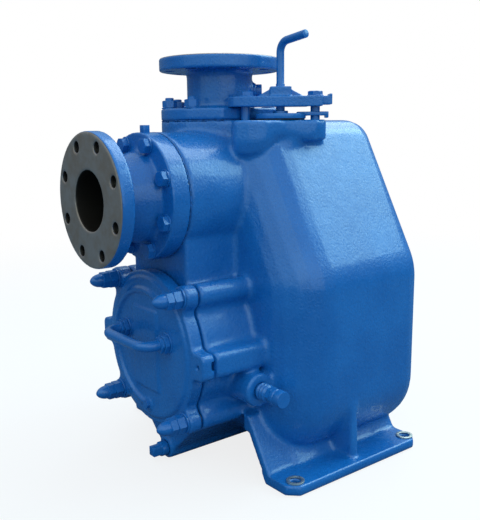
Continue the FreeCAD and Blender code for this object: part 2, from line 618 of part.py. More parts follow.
gasket_form = turned("SuctionGasketForm", [
    ("gasket_inner", "0 - joint_back"), ("joint_radius", "0 - joint_back"),
    ("joint_radius", FRONT), ("gasket_inner", FRONT)], SUCTION)
node(cut("SuctionGasket", gasket_form, [
    holes("GasketHoles", "bolt_radius + hole_clear", "joint_hole",
          moved(JOINT_PLACES, Vector(0, -S.gasket_thick * 2, 0))),
]), "suction_gasket")
node(bolts("SuctionBolts", "bolt_radius", "joint_reach", "bolt_washer", "bolt_washer_thick", "bolt_flats",
           "bolt_head",
           "0", moved(JOINT_PLACES, Vector(0, S.front_plane - S.joint_front, 0))), "suction_bolts")
node(fused("VentPlug", [
    cylinder("VentShank", "vent_shank", "vent_depth + edge_break", vent_top),
    block("VentHead", ("vent_square", "vent_square", "vent_height"),
          ("0 - vent_square / 2", "0 - vent_y - vent_square / 2",
           "suction_height + joint_radius - edge_break / 2")),
]), "vent_plug")

# Check valve: a flap with two weights on a pin across the casing
node(cylinder("ValvePin", "hinge_pin", "pin_half * 2", ("0 - pin_half", "0 - hinge_y", "hinge_z"), "right"),
     "valve_pin")
flap = fused("FlapForm", [
    cylinder("FlapDisc", "flap_radius", "flap_front - flap_back", ("0", "0 - flap_front", "suction_height"),
             "back"),
    block("FlapTab", ("knuckle_half * 2", "flap_front - flap_back", "hinge_z - suction_height"),
          ("0 - knuckle_half", "0 - flap_front", "suction_height")),
    cylinder("FlapKnuckle", "hinge_knuckle", "knuckle_half * 2",
             ("0 - knuckle_half", "0 - hinge_y", "hinge_z"), "right"),
])
node(cut("ValveFlap", flap, [
    cylinder("KnuckleBore", "hinge_pin + running_gap", "knuckle_half * 4",
             ("0 - knuckle_half * 2", "0 - hinge_y", "hinge_z"), "right"),
    cylinder("FlapHole", "weight_bolt + thread_gap", "front_plane",
             ("0", FRONT + " - weight_thick", "suction_height"), "back"),
]), "valve_flap")
node(fused("ValveWeights", [
    cylinder("FrontWeight", "front_weight", "weight_thick",
             ("0", "0 - flap_front - weight_thick", "suction_height"), "back"),
    cylinder("RearWeight", "rear_weight", "weight_thick", ("0", "0 - flap_back", "suction_height"), "back"),
    cylinder("WeightBolt", "weight_bolt", "weight_thick * 2 + flap_front - flap_back",
             ("0", "0 - flap_front - weight_thick", "suction_height"), "back"),
    hexagon("WeightNut", "weight_head", "weight_head_thick",
            ("0", "weight_thick - flap_back", "suction_height"), "back"),
]), "valve_weights")

# Discharge adapter with its gasket, studs and tap plug
discharge_form = turned("DischargeForm", [
    ("pipe_bore", "top_plane + gasket_thick"), ("base_radius", "top_plane + gasket_thick"),
    ("base_radius", "base_top"),
    ("discharge_neck + neck_round", "base_top"), ("discharge_neck", "base_top + neck_round"),
    ("discharge_neck", "discharge_face - flange_thick - neck_round"),
    ("discharge_neck + neck_round", "discharge_face - flange_thick"),
    ("flange_radius", "discharge_face - flange_thick"),
    ("flange_radius", "discharge_face - edge_break"), ("flange_radius - edge_break", "discharge_face"),
    ("pipe_bore", "discharge_face")], DISCHARGE_SPOT + ("0",), "up")
DISCHARGE_AXIS = ("0 - discharge_left", "0 - discharge_forward")
tap_seat = beside(DISCHARGE_AXIS, "tap_reach", S.tap_turn) + ("tap_height",)
tap_start = beside(DISCHARGE_AXIS, "pipe_bore + edge_break", S.tap_turn)
tap_inner = beside(beside(DISCHARGE_AXIS, "tap_reach", S.tap_turn), "0 - tap_shank",
                   S.tap_turn) + ("tap_height",)
tap_root = beside(beside(DISCHARGE_AXIS, "tap_reach", S.tap_turn), "0 - tap_boss",
                  S.tap_turn) + ("tap_height",)


def flat_side(name, floor, height):
    """The flat that clears the fill port, as a cutting block."""
    return block(name, ("base_radius", "base_radius * 2", height),
                 ("base_flat - discharge_left", "0 - discharge_forward - base_radius", floor))


node(cut("DischargeAdapter", fused("DischargeWhole", [
    discharge_form, cylinder("TapBoss", "tap_boss", "tap_boss", tap_root, "tap")]), [
    flange_holes("DischargeFlangeHoles", DISCHARGE_CENTRE + Vector(0, 0, S.discharge_face), UPRIGHT),
    holes("BaseThrough", "bolt_radius + hole_clear", "base_top - top_plane",
          moved(BASE_PLACES, Vector(0, 0, S.base_top - S.top_plane))),
    flat_side("BaseFlat", "top_plane", "base_top - top_plane + edge_break"),
    cylinder("TapHole", "tap_bore + thread_gap", "tap_boss * 2", tap_inner, "tap"),
]), "discharge_adapter")
gasket_ring = turned("DischargeGasketForm", [
    ("pipe_bore", "top_plane"), ("base_radius", "top_plane"), ("base_radius", "top_plane + gasket_thick"),
    ("pipe_bore", "top_plane + gasket_thick")], DISCHARGE_SPOT + ("0",), "up")
node(cut("DischargeGasket", gasket_ring, [
    holes("BaseGasketHoles", "bolt_radius + hole_clear", "base_hole",
          moved(BASE_PLACES, Vector(0, 0, S.gasket_thick * 2))),
    flat_side("GasketFlat", "top_plane - edge_break", "edge_break * 3"),
]), "discharge_gasket")
node(bolts("DischargeBolts", "bolt_radius", "base_reach", "bolt_washer", "bolt_washer_thick", "bolt_flats",
           "nut_height",
           "stud_tip", moved(BASE_PLACES, Vector(0, 0, S.base_top - S.top_plane))), "discharge_bolts")
tap_head = hexagon("TapHead", "tap_flats", "tap_head", tap_seat)
tap_head.Placement = Placement(tap_head.Placement.Base, TURN["tap"])
node(fused("DischargePlug", [
    cylinder("TapShank", "tap_bore", "tap_shank + edge_break", tap_inner, "tap"), tap_head]),
    "discharge_plug")

# Fill port: the cover that lifts, the bar that swings and the screw that turns
cover_tongue = [
    block("Tongue", ("tongue_reach - tongue_start", "tongue_half * 2", "tongue_top - tongue_low"),
          bar_spot("tongue_start", "0 - tongue_half", "tongue_low"), TURN["bar"]),
    block("TongueLip", ("tongue_lip", "tongue_half * 2", "tongue_top - lip_low"),
          bar_spot("tongue_reach - tongue_lip", "0 - tongue_half", "lip_low"), TURN["bar"]),
]


def bolt_slot(name, floor, height):
    """The slot round the right clamp bolt, open towards the far side."""
    return [
        cylinder(name + "End", "slot_half", height, right_spot + (floor,)),
        block(name + "Way", ("slot_half * 2 + slot_extra", "bar_half * 2", height),
              bar_spot("clamp_spacing - slot_half - slot_extra", "0", floor), TURN["bar"]),
    ]


node(cut("FillCover", fused("FillCoverForm", [
    cylinder("FillDisc", "fill_cover_radius", "fill_cover_top - fill_cover_low",
             FILL_SPOT + ("fill_cover_low",)),
    cylinder("FillBoss", "fill_boss", "fill_boss_top - fill_cover_low", FILL_SPOT + ("fill_cover_low",)),
] + cover_tongue), bolt_slot("TongueSlot", "lip_low", "fill_boss_top - lip_low") + [
    cylinder("ScrewSocket", "screw_tip + running_gap", "fill_boss", FILL_SPOT + ("socket_floor",)),
]), "fill_cover")
node(turned("FillGasket", [
    ("fill_bore + edge_break", "fill_gasket_low"), ("fill_gasket_outer", "fill_gasket_low"),
    ("fill_gasket_outer", "fill_cover_low"), ("fill_bore + edge_break", "fill_cover_low")],
    FILL_SPOT + ("0",), "up"),
     "fill_gasket")


def bar_rib(name, sign):
    """A sloped rib from the hub down to the bar's top."""
    points = [(sign + "bar_hub_half / 2", "bar_top - edge_break"),
              (sign + "rib_reach", "bar_top - edge_break"),
              (sign + "rib_reach", "bar_top"), (sign + "bar_hub_half", "rib_top"),
              (sign + "bar_hub_half / 2", "rib_top")]
    rib = padded(name, points, "rib_half * 2", bar_spot("0", "rib_half", "0"), "bar side")
    return rib


bar_form = fused("BarForm", [
    block("Bar", ("bar_round + bar_reach", "bar_half * 2", "bar_top - bar_low"),
          bar_spot("0 - bar_round", "0 - bar_half", "bar_low"), TURN["bar"]),
    cylinder("BarEnd", "bar_half", "bar_top - bar_low",
             beside(FILL_SPOT, "0 - bar_round", S.fill_turn) + ("bar_low",)),
    block("BarTab", ("bar_tab - bar_reach", "tab_half * 2", "bar_top - tab_low"),
          bar_spot("bar_reach", "0 - tab_half", "tab_low"), TURN["bar"]),
    block("BarLip", ("tab_lip", "tab_half * 2", "tab_top - tab_low"),
          bar_spot("bar_tab - tab_lip", "0 - tab_half", "tab_low"), TURN["bar"]),
    block("BarHub", ("bar_hub_half * 2", "bar_hub_half * 2", "bar_hub_top - bar_low"),
          bar_spot("0 - bar_hub_half", "0 - bar_hub_half", "bar_low"), TURN["bar"]),
    bar_rib("RibLeft", "0 - "), bar_rib("RibRight", ""),
])
node(cut("ClampBar", bar_form, bolt_slot("BarSlot", "fill_boss_top",
                                         "tab_top - fill_boss_top + edge_break") + [
    cylinder("BarPivot", "clamp_bolt + clamp_gap", "bar_hub_top - fill_boss_top",
             left_spot + ("fill_boss_top",)),
    cylinder("ScrewHole", "screw_radius + running_gap", "bar_hub_top - fill_boss_top + edge_break",
             FILL_SPOT + ("fill_boss_top",)),
]), "clamp_bar")
node(bolts("ClampBolts", "clamp_bolt", "bar_top + clamp_gap - clamp_bolt_low", "bolt_washer", "edge_break",
           "clamp_head_flats", "clamp_head - edge_break", "0",
           [Placement(spot + Vector(0, 0, S.bar_top + S.clamp_gap), UPRIGHT) for spot in CLAMP_SPOTS]),
     "clamp_bolts")


def bent_rod(name, corners, bend, radius):
    """A round rod along a line whose inner corners are bent."""
    edges, start = [], corners[0]
    for before, corner, after in zip(corners, corners[1:], corners[2:]):
        back, ahead = (before - corner).normalize(), (after - corner).normalize()
        half = back.getAngle(ahead) / 2
        reach = bend / math.tan(half)
        middle = corner + (back + ahead).normalize() * (bend / math.sin(half) - bend)
        edges.append(Part.LineSegment(start, corner + back * reach).toShape())
        edges.append(Part.Arc(corner + back * reach, middle, corner + ahead * reach).toShape())
        start = corner + ahead * reach
    edges.append(Part.LineSegment(start, corners[-1]).toShape())
    section = Part.Wire(Part.Circle(corners[0], corners[1] - corners[0], radius).toShape())
    return solid(name, Part.Wire(edges).makePipeShell([section], True, False))


screw_top = FILL_CENTRE + Vector(0, 0, S.screw_bend_height)
node(fused("ClampScrew", [
    cylinder("ScrewTip", "screw_tip", "screw_top - socket_floor - clamp_gap",
             FILL_SPOT + ("socket_floor + clamp_gap",)),
    cylinder("ScrewThread", "screw_radius", "screw_top - fill_boss_top - clamp_gap",
             FILL_SPOT + ("fill_boss_top + clamp_gap",)),
    bent_rod("ScrewRod", [FILL_CENTRE + Vector(0, 0, S.screw_top - S.edge_break), screw_top,
                          screw_top + Vector(S.screw_arm, 0, S.screw_rise)], S.screw_bend, S.screw_rod),
]), "clamp_screw")

# Clean-out cover with its ring, studs, washers, nuts and handle
rim = lobed("CoverRim", "rim_front - rim_back", "0 - rim_back")
cover_face = turned("CoverFace", [
    ("0", "0 - face_front"), ("face_radius - edge_break", "0 - face_front"),
    ("face_radius", "0 - rim_front"),
    ("face_radius", "0 - rim_back"), ("spigot_radius", "0 - rim_back"),
    ("spigot_radius", "0 - ring_y - ring_section"),
    ("ring_groove", "0 - ring_y - ring_section"), ("ring_groove", "ring_section - ring_y"),
    ("spigot_radius", "ring_section - ring_y"), ("spigot_radius", "0 - spigot_back"),
    ("hollow_radius", "0 - spigot_back"), ("hollow_radius", "0 - hollow_floor"), ("0", "0 - hollow_floor")],
    AXIS)
ring_cut = turned("FaceGroove", [
    ("groove_radius - groove_half", "0 - face_front - edge_break"),
    ("groove_radius + groove_half", "0 - face_front - edge_break"),
    ("groove_radius + groove_half", "edge_break - face_front"),
    ("groove_radius - groove_half", "edge_break - face_front")], AXIS)
ear_holes = [Placement(SHAFT_CENTRE + Vector(x, -S.front_plane, 0), TURN["front"]) for x in (-S.ear_hole_x,
                                                                                             S.ear_hole_x)]
node(cut("FrontCover", fused("CoverForm", [rim, cover_face]), [
    ring_cut,
    group("CoverStudHoles", cylinder("CoverDrill", "stud_radius + stud_clear", "front_plane",
                                     ("0", "0", "0")), STUD_PLACES),
    group("EarHoles", cylinder("EarDrill", "ear_hole", "front_plane", ("0", "0", "0")), ear_holes),
]), "front_cover")
ring = doc.addObject("Part::Torus", "CoverRing")
ring.setExpression("Radius1", cells("ring_groove + ring_section"))
ring.setExpression("Radius2", cells("ring_section"))
node(place(ring, ("0", "0 - ring_y", "shaft_height"), TURN["back"]), "cover_o_ring")

STUD_FRONTS = moved(STUD_PLACES, Vector(0, S.front_plane - S.rim_front, 0))
node(group("CoverStuds", cylinder("StudOne", "stud_radius", "stud_front - stud_back",
                                  ("0", "0", "stud_back - rim_front")),
           STUD_FRONTS), "cover_studs")


def pierced(name, outer, hole, length):
    """A piece bored through along its axis."""
    drill = cylinder(name + "Bore", hole, f"{length} + edge_break * 2", ("0", "0", "0 - edge_break"))
    return cut(name, outer, [drill])


washer_one = pierced("WasherOne", cylinder("WasherDisc", "cover_washer", "cover_washer_thick",
                                           ("0", "0", "0")),
                     "stud_radius + stud_clear", "cover_washer_thick")
node(group("CoverWashers", washer_one, STUD_FRONTS), "cover_washers")
nut_one = pierced("NutOne", hexagon("NutHex", "nut_flats", "nut_thick", ("0", "0", "0")),
                  "stud_radius + nut_gap", "nut_thick")
NUT_PLACES = moved(STUD_FRONTS, Vector(0, -S.cover_washer_thick, 0))
node(group("CoverNuts", nut_one, NUT_PLACES), "cover_nuts")
cap_dome = turned("CapDome", [
    ("stud_radius + nut_gap", "0"), ("nut_flats / 2", "0"), ("nut_flats / 2", "cap_nut_length * 0.6"),
    ("nut_flats * 0.42", "cap_nut_length * 0.8"), ("nut_flats * 0.25", "cap_nut_length * 0.94"),
    ("0", "cap_nut_length"),
    ("0", "cap_nut_length * 0.7"), ("stud_radius + nut_gap", "cap_nut_length * 0.65")], along="up")
cap_hex = pierced("CapHex", hexagon("CapHexForm", "nut_flats", "cap_nut_length * 0.5", ("0", "0", "0")),
                  "stud_radius + nut_gap", "cap_nut_length")
node(group("CoverCapNuts", fused("CapNutOne", [cap_dome, cap_hex]),
           moved(NUT_PLACES, Vector(0, -S.nut_thick, 0))),
     "cover_cap_nuts")
grip = [Vector(side * S.handle_half, -front, S.handle_height) for side, front in
        ((-1, S.face_front), (-1, S.handle_front), (1, S.handle_front), (1, S.face_front))]
node(fused("CoverHandle", [bent_rod("HandleRod", grip, S.handle_bend, S.handle_rod)] + [
    cylinder("Collar" + mark, "handle_collar", "collar_thick",
             (sign + "handle_half", "0 - face_front", "handle_height"), "front")
    for mark, sign in (("Left", "0 - "), ("Right", ""))]), "cover_handle")

# Wear plate held off the cover by three posts
wear_form = turned("WearForm", [
    ("wear_eye", "0 - wear_front"), ("chamber_radius - wear_clear", "0 - wear_front"),
    ("chamber_radius - wear_clear", "0 - wear_back"), ("wear_eye", "0 - wear_back")], AXIS)
posts = group("WearPosts", cylinder("PostOne", "wear_post", "hollow_floor - wear_front", ("0", "0", "0")),
              ring_places(S.wear_posts, S.wear_post_circle, 90, SHAFT_CENTRE + Vector(0, -S.wear_front, 0),
                          TURN["front"]))
node(fused("WearPlate", [wear_form, posts]), "wear_plate")

# Drain plug and the capped nipple on the side boss
node(fused("DrainPlug", [
    cylinder("DrainThread", "drain_bore - thread_gap", "drain_thread + drain_collar_front - front_plane",
             ("0", "0 - drain_collar_front", "drain_height"), "back"),
    cylinder("DrainCollar", "drain_collar", "drain_collar_front - front_plane",
             ("0", "0 - drain_collar_front", "drain_height"), "back"),
    block("DrainSquare", ("drain_square", "drain_head_front - drain_collar_front", "drain_square"),
          ("0 - drain_square / 2", "0 - drain_head_front", "drain_height - drain_square / 2")),
]), "drain_plug")
nipple_points = [("side_bore", "nipple_start"), ("nipple_radius", "nipple_start"),
                 ("nipple_radius", "side_boss_end + edge_break")]
for ridge in range(4):
    start = f"side_boss_end + edge_break * {2 + ridge * 3}"
    nipple_points += [("nipple_radius", start), ("nipple_ridge", start),
                      ("nipple_ridge", start + " + edge_break * 1.5"),
                      ("nipple_radius", start + " + edge_break * 1.5")]
node(turned("SideNipple", nipple_points + [("nipple_radius", "nipple_end"), ("side_bore", "nipple_end")],
            ("0", "0 - side_y", "side_height"), "right"), "side_nipple")
node(fused("SideCap", [
    hexagon("SideHex", "nipple_hex", "nipple_hex_end - nipple_end",
            ("nipple_end", "0 - side_y", "side_height"), "right"),
    turned("SideCapEnd", [("0", "nipple_hex_end - edge_break"), ("side_cap", "nipple_hex_end - edge_break"),
                          ("side_cap", "side_cap_end - edge_break * 2"),
                          ("side_cap - edge_break * 2", "side_cap_end"),
                          ("0", "side_cap_end")], ("0", "0 - side_y", "side_height"), "right"),
]), "side_cap")

# Seal plate and the fixed and turning halves of the shaft seal
node(turned("SealPlate", [
    ("plate_bore", "0 - seal_plate_front"), ("plate_radius", "0 - seal_plate_front"),
    ("plate_radius", "0 - seal_plate_back"),
    ("cartridge_radius", "0 - seal_plate_back"), ("cartridge_radius", "0 - seal_hub_back"),
    ("cartridge_bore", "0 - seal_hub_back"), ("cartridge_bore", "0 - seat_front"),
    ("plate_bore", "0 - seat_front")], AXIS),
     "seal_plate")
node(turned("SealSeat", [
    ("seat_bore", "0 - seat_front"), ("cartridge_bore", "0 - seat_front"),
    ("cartridge_bore", "0 - seat_back"),
    ("seat_bore", "0 - seat_back")], AXIS), "seal_seat")
node(turned("SealHead", [
    ("sleeve_radius", "0 - head_front"), ("head_radius", "0 - head_front"),
    ("head_radius", "0 - head_back"),
    ("sleeve_radius", "0 - head_back")], AXIS), "seal_head")
bellows = [("sleeve_radius + edge_break", "0 - head_back")]
for fold in range(4):
    reach = f"0 - head_back + head_back * {fold * 0.25 + 0.125} + bellows_end * {fold * 0.25 + 0.125}"
    bellows += [("bellows_root",
                 f"0 - head_back + head_back * {fold * 0.25} + bellows_end * {fold * 0.25}"),
                ("bellows_radius", reach)]
node(turned("SealBellows", bellows + [("bellows_root", "bellows_end"), ("head_radius", "bellows_end"),
                                      ("head_radius", "collar_end"),
                                      ("sleeve_radius", "collar_end"), ("sleeve_radius", "bellows_end"),
                                      ("sleeve_radius + edge_break", "bellows_end")], AXIS), "seal_bellows")

# Impeller on the shaft's nose
core = turned("ImpellerCore", [
    ("shaft_nose", "0 - hub_back"), ("impeller_hub", "0 - hub_back"), ("impeller_hub", "0 - shroud_back"),
    ("impeller_radius", "0 - shroud_back"), ("impeller_radius", "0 - shroud_front"),
    ("boss_root", "0 - shroud_front"),
    ("boss_radius", "0 - boss_front"), ("screw_shank + thread_gap", "0 - boss_front"),
    ("screw_shank + thread_gap", "0 - nose_front"), ("shaft_nose", "0 - nose_front")], AXIS)


def vane(name, first):
    """A spiral vane standing on the shroud."""
    near, far, steps = [], [], 8
    for step in range(steps + 1):
        radius = S.boss_radius - 6 + (S.impeller_radius - S.boss_radius + 4) * step / steps
        angle = math.radians(first - S.vane_twist * step / steps)
        middle = Vector(math.cos(angle), math.sin(angle), 0) * radius
        slant = math.radians(first - S.vane_twist * step / steps - 55)
        across = Vector(math.cos(slant + math.pi / 2), math.sin(slant + math.pi / 2), 0) * S.vane_half
        near.append(middle + across)
        far.append(middle - across)
    points = [(f"impeller_radius * {point.x / S.impeller_radius:.6f}",
               f"impeller_radius * {point.y / S.impeller_radius:.6f}")
              for point in near + far[::-1]]
    return padded(name, points, "vane_depth + edge_break",
                  ("0", "edge_break - shroud_front", "shaft_height"))


nose_bore = cylinder("NoseBore", "shaft_nose", "nose_front", ("0", "0 - nose_front", "shaft_height"),
                     "back")
screw_bore = cylinder("ScrewBore", "screw_shank + thread_gap", "nose_front",
                      ("0", "0 - vane_front - edge_break", "shaft_height"), "back")
node(cut("Impeller", fused("ImpellerForm", [core, vane("VaneOne", 0), vane("VaneTwo", 180)]),
         [nose_bore, screw_bore]), "impeller")
node(fused("ImpellerScrew", [
    cylinder("ImpellerShank", "screw_shank", "boss_front - shroud_front",
             ("0", "0 - boss_front", "shaft_height"), "back"),
    hexagon("ImpellerHead", "bolt_flats", "bolt_head", ("0", "0 - boss_front", "shaft_height"), "front"),
]), "impeller_screw")

# Shaft with its keyway
shaft_form = turned("ShaftForm", [
    ("screw_shank + thread_gap", "0 - nose_front"), ("shaft_nose", "0 - nose_front"),
    ("shaft_nose", "0 - hub_back"),
    ("sleeve_radius", "0 - hub_back"), ("sleeve_radius", "front_bearing_start"),
    ("front_bore", "front_bearing_start"),
    ("front_bore", "front_bearing_end"), ("shoulder_radius", "front_bearing_end"),
    ("shoulder_radius", "rear_bearing_start"),
    ("rear_bore", "rear_bearing_start"), ("rear_bore", "rear_bearing_end"),
    ("tail_radius", "rear_bearing_end"),
    ("tail_radius", "cap_end"), ("drive_radius", "cap_end"), ("drive_radius", "shaft_end - edge_break"),
    ("drive_radius - edge_break", "shaft_end"), ("0", "shaft_end"), ("0", "0 - shroud_back"),
    ("screw_shank + thread_gap", "0 - shroud_back")], AXIS)
node(cut("PumpShaft", shaft_form, [
    block("KeyWay", ("key_half * 2", "key_end - key_start", "drive_radius"),
          ("0 - key_half", "key_start", "shaft_height + key_low")),
]), "pump_shaft")

# Bearing housing with its flange bolts, cap, oil seal, sight gauge and vent
housing_form = turned("HousingForm", [
    ("cartridge_bore", "0 - seal_hub_back"), ("cartridge_radius", "0 - seal_hub_back"),
    ("cartridge_radius", "pilot_front"),
    ("plate_radius", "pilot_front"), ("plate_radius", "flange_front"), ("rear_flange", "flange_front"),
    ("rear_flange", "flange_back"), ("barrel_radius", "flange_back"), ("barrel_radius", "barrel_end"),
    ("rear_outer", "barrel_end"),
    ("rear_outer", "rear_bearing_start"), ("front_outer", "rear_bearing_start"),
    ("front_outer", "front_bearing_start"),
    ("cartridge_bore", "front_bearing_start")], AXIS)
node(cut("BearingHousing", fused("HousingWhole", [
    housing_form,
    cut("GaugeBoss", cylinder("GaugeBossForm", "sight_boss", "sight_face", ("0", "sight_y", "shaft_height"),
                              "right"),
        [cylinder("GaugeBossBack", "barrel_radius - edge_break", "cap_end", ("0", "0", "shaft_height"),
                  "back")]),
    cut("VentBoss", cylinder("VentBossForm", "vent_boss", "vent_rise", ("0", "sight_y", "shaft_height")),
        [cylinder("VentBossBack", "barrel_radius - edge_break", "cap_end", ("0", "0", "shaft_height"),
                  "back")]),
]), [holes("RearThrough", "bolt_radius + hole_clear", "rear_reach",
           moved(REAR_PLACES, Vector(0, S.flange_back - S.flange_front, 0))),
     holes("CapHoles", "cap_screw + thread_gap", "cap_reach",
           ring_places(S.cap_screws, S.cap_circle, 0, SHAFT_CENTRE + Vector(0, S.barrel_end, 0),
                       TURN["back"]))]), "bearing_housing")
node(bolts("RearBolts", "bolt_radius", "rear_reach", "bolt_washer", "bolt_washer_thick", "bolt_flats",
           "bolt_head", "0",
           moved(REAR_PLACES, Vector(0, S.flange_back - S.flange_front, 0))), "bearing_housing_bolts")
CAP_PLACES = ring_places(S.cap_screws, S.cap_circle, 0, SHAFT_CENTRE + Vector(0, S.cap_end, 0),
                         TURN["back"])
cap_form = turned("CapForm", [
    ("front_outer", "rear_bearing_end"), ("cap_spigot", "rear_bearing_end"), ("cap_spigot", "barrel_end"),
    ("cap_radius", "barrel_end"), ("cap_radius", "cap_end - edge_break"),
    ("cap_radius - edge_break", "cap_end"),
    ("oil_seal_outer", "cap_end"), ("oil_seal_outer", "oil_seal_front"), ("seat_bore", "oil_seal_front"),
    ("seat_bore", "barrel_end"), ("front_outer", "barrel_end")], AXIS)
node(cut("BearingCap", cap_form, [holes("CapThrough", "cap_screw + thread_gap",
                                        "cap_end - barrel_end + edge_break", CAP_PLACES)]),
     "bearing_cap")
node(group("CapScrews", fused("CapScrewOne", [
    cylinder("CapScrewShank", "cap_screw", "cap_reach", ("0", "0", "0 - cap_reach")),
    cylinder("CapScrewHead", "cap_screw_head", "cap_head_height", ("0", "0", "0"))]), CAP_PLACES),
    "bearing_cap_screws")
node(turned("OilSeal", [
    ("tail_radius + fit_gap", "oil_seal_front"), ("oil_seal_outer", "oil_seal_front"),
    ("oil_seal_outer", "oil_seal_back"),
    ("tail_radius + fit_gap", "oil_seal_back")], AXIS), "oil_seal")
node(cylinder("SightGauge", "sight_radius", "sight_end - sight_face",
              ("sight_face", "sight_y", "shaft_height"), "right"),
     "sight_gauge")
node(cylinder("OilVent", "vent_cap", "vent_cap_height", ("0", "sight_y", "shaft_height + vent_rise")),
     "oil_vent")


def races(name, label, start, end, bore, outer):
    """A roller bearing: the outer race, and the inner race with its rollers."""
    low, high = f"{name}_bearing_start", f"{name}_bearing_end"
    middle = f"{bore} * 0.5 + {outer} * 0.5"
    inner_top, outer_low = middle + " - roller_radius", middle + " + roller_radius + race_gap"
    node(turned(label + "Outer", [(outer_low, low), (outer, low), (outer, high), (outer_low, high)], AXIS),
         label.lower() + "_outer_race")
    ring_form = turned(label + "InnerRing", [(bore, low), (inner_top, low), (inner_top, high),
                                             (bore, high)], AXIS)
    roller = cylinder(label + "Roller", "roller_radius", "roller_half * 2", ("0", "0", "0 - roller_half"))
    centre = SHAFT_CENTRE + Vector(0, (start + end) / 2, 0)
    rollers = group(label + "Rollers", roller,
                    ring_places(S.rollers, number(middle), 0, centre, TURN["back"]))
    node(solid_of(label + "Inner", [ring_form, rollers]), label.lower() + "_inner_race")


def solid_of(name, pieces):
    """One node that holds several touching solids."""
    doc.recompute()
    shapes = []
    for piece in pieces:
        shapes += piece.Shape.Solids
    return solid(name, Part.makeCompound(shapes))


races("front", "Inboard", S.front_bearing_start, S.front_bearing_end, "front_bore", "front_outer")
races("rear", "Outboard", S.rear_bearing_start, S.rear_bearing_end, "rear_bore", "rear_outer")

# Washers on the feet
foot_washer = pierced("FootWasherOne", cylinder("FootWasherDisc", "washer_radius", "washer_thick",
                                                ("0", "0", "0")),
                      "foot_hole + stud_clear", "washer_thick")
node(group("FootWashers", foot_washer, FOOT_PLACES), "foot_washers")

doc.recompute()
for obj in doc.Objects:
    if "Invalid" in obj.State or "Error" in obj.State:
        raise RuntimeError(f"{obj.Name} did not compute: {obj.State}")
os.makedirs("parts", exist_ok=True)
for obj in NODES:
    shape = obj.Shape
    if shape.isNull() or not shape.isValid() or not shape.Solids:
        raise RuntimeError(f"{obj.Label} has no valid solid")
    shape.exportStep(f"parts/{obj.Label}.step")
    print(obj.Label, len(shape.Solids), round(shape.Volume / 1000, 1))
print(len(NODES), "nodes")
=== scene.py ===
import math

import bmesh
import bpy
import numpy as np
from mathutils import Matrix, Vector


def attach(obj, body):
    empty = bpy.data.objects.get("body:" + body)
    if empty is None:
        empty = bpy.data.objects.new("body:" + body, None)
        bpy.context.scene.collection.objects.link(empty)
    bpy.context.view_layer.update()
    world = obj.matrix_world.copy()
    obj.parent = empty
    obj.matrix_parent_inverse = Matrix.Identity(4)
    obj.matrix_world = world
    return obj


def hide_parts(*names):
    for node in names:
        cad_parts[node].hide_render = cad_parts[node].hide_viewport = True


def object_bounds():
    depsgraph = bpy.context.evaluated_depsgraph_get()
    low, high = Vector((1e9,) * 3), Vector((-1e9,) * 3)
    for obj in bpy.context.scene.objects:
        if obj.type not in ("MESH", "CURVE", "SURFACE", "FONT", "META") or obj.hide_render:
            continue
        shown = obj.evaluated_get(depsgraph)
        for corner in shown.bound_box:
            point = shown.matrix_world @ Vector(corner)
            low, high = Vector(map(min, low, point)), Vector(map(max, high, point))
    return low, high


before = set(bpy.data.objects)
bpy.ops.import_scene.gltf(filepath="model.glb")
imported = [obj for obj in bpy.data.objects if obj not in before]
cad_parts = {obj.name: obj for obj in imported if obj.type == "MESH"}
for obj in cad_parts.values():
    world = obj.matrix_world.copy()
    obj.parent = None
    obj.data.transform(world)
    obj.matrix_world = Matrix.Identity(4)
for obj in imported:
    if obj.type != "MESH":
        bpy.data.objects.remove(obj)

bl_info = {
    "name": "Self-priming pump",
    "version": (1, 0, 0),
    "blender": (4, 5, 0),
    "location": "View3D > Sidebar > Pump",
    "description": "Painted castings, fasteners and fittings of a self-priming pump over its packed solids",
    "category": "Object",
}

CAD_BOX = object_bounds()

# Places and sizes that the finishes and the pieces share, in metres
SHAFT_HEIGHT = 0.227
SUCTION_CENTRE = Vector((0.0, -0.382, 0.5))
DISCHARGE_CENTRE = Vector((-0.05, -0.071, 0.746))
DISCHARGE_BASE_TOP = 0.653
TOP_PLANE = 0.608
PIPE_BORE = 0.051
FLANGE_THICK = 0.024
FLANGE_CIRCLE = 0.09525
FLANGE_HOLE = 0.0095
FLANGE_HOLES = 8
COVER_FACE = -0.282
COVER_RIM = -0.279
LOBE_OFFSET = 0.111
FILL_CENTRE = Vector((0.092, -0.04, 0.63))
FILL_TURN = math.radians(52.0)
CLAMP_SPACING = 0.063
CLAMP_HEAD = 0.009
BAR_TOP = max(corner[2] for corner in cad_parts["clamp_bolts"].bound_box) - CLAMP_HEAD

WHITE = (1.0, 1.0, 1.0, 1.0)

# How the castings are smoothed: ridges give a little in the first passes only, hollows fill in all of them
RIDGE_PASSES = 3
RIDGE_SHARE = 0.6
NORMALS_EVERY = 8
SOFT_PASSES = 16

# Triangles that one casting may have
MOST_TRIANGLES = 196000


# Shader maths
class Channel:
    """A node socket that can be used in Python sums."""

    def __init__(self, tree, socket):
        self.tree, self.socket = tree, socket

    def __add__(self, other):
        return maths(self.tree, "ADD", self, other)

    __radd__ = __add__

    def __sub__(self, other):
        return maths(self.tree, "SUBTRACT", self, other)

    def __rsub__(self, other):
        return maths(self.tree, "SUBTRACT", other, self)

    def __mul__(self, other):
        return maths(self.tree, "MULTIPLY", self, other)

    __rmul__ = __mul__


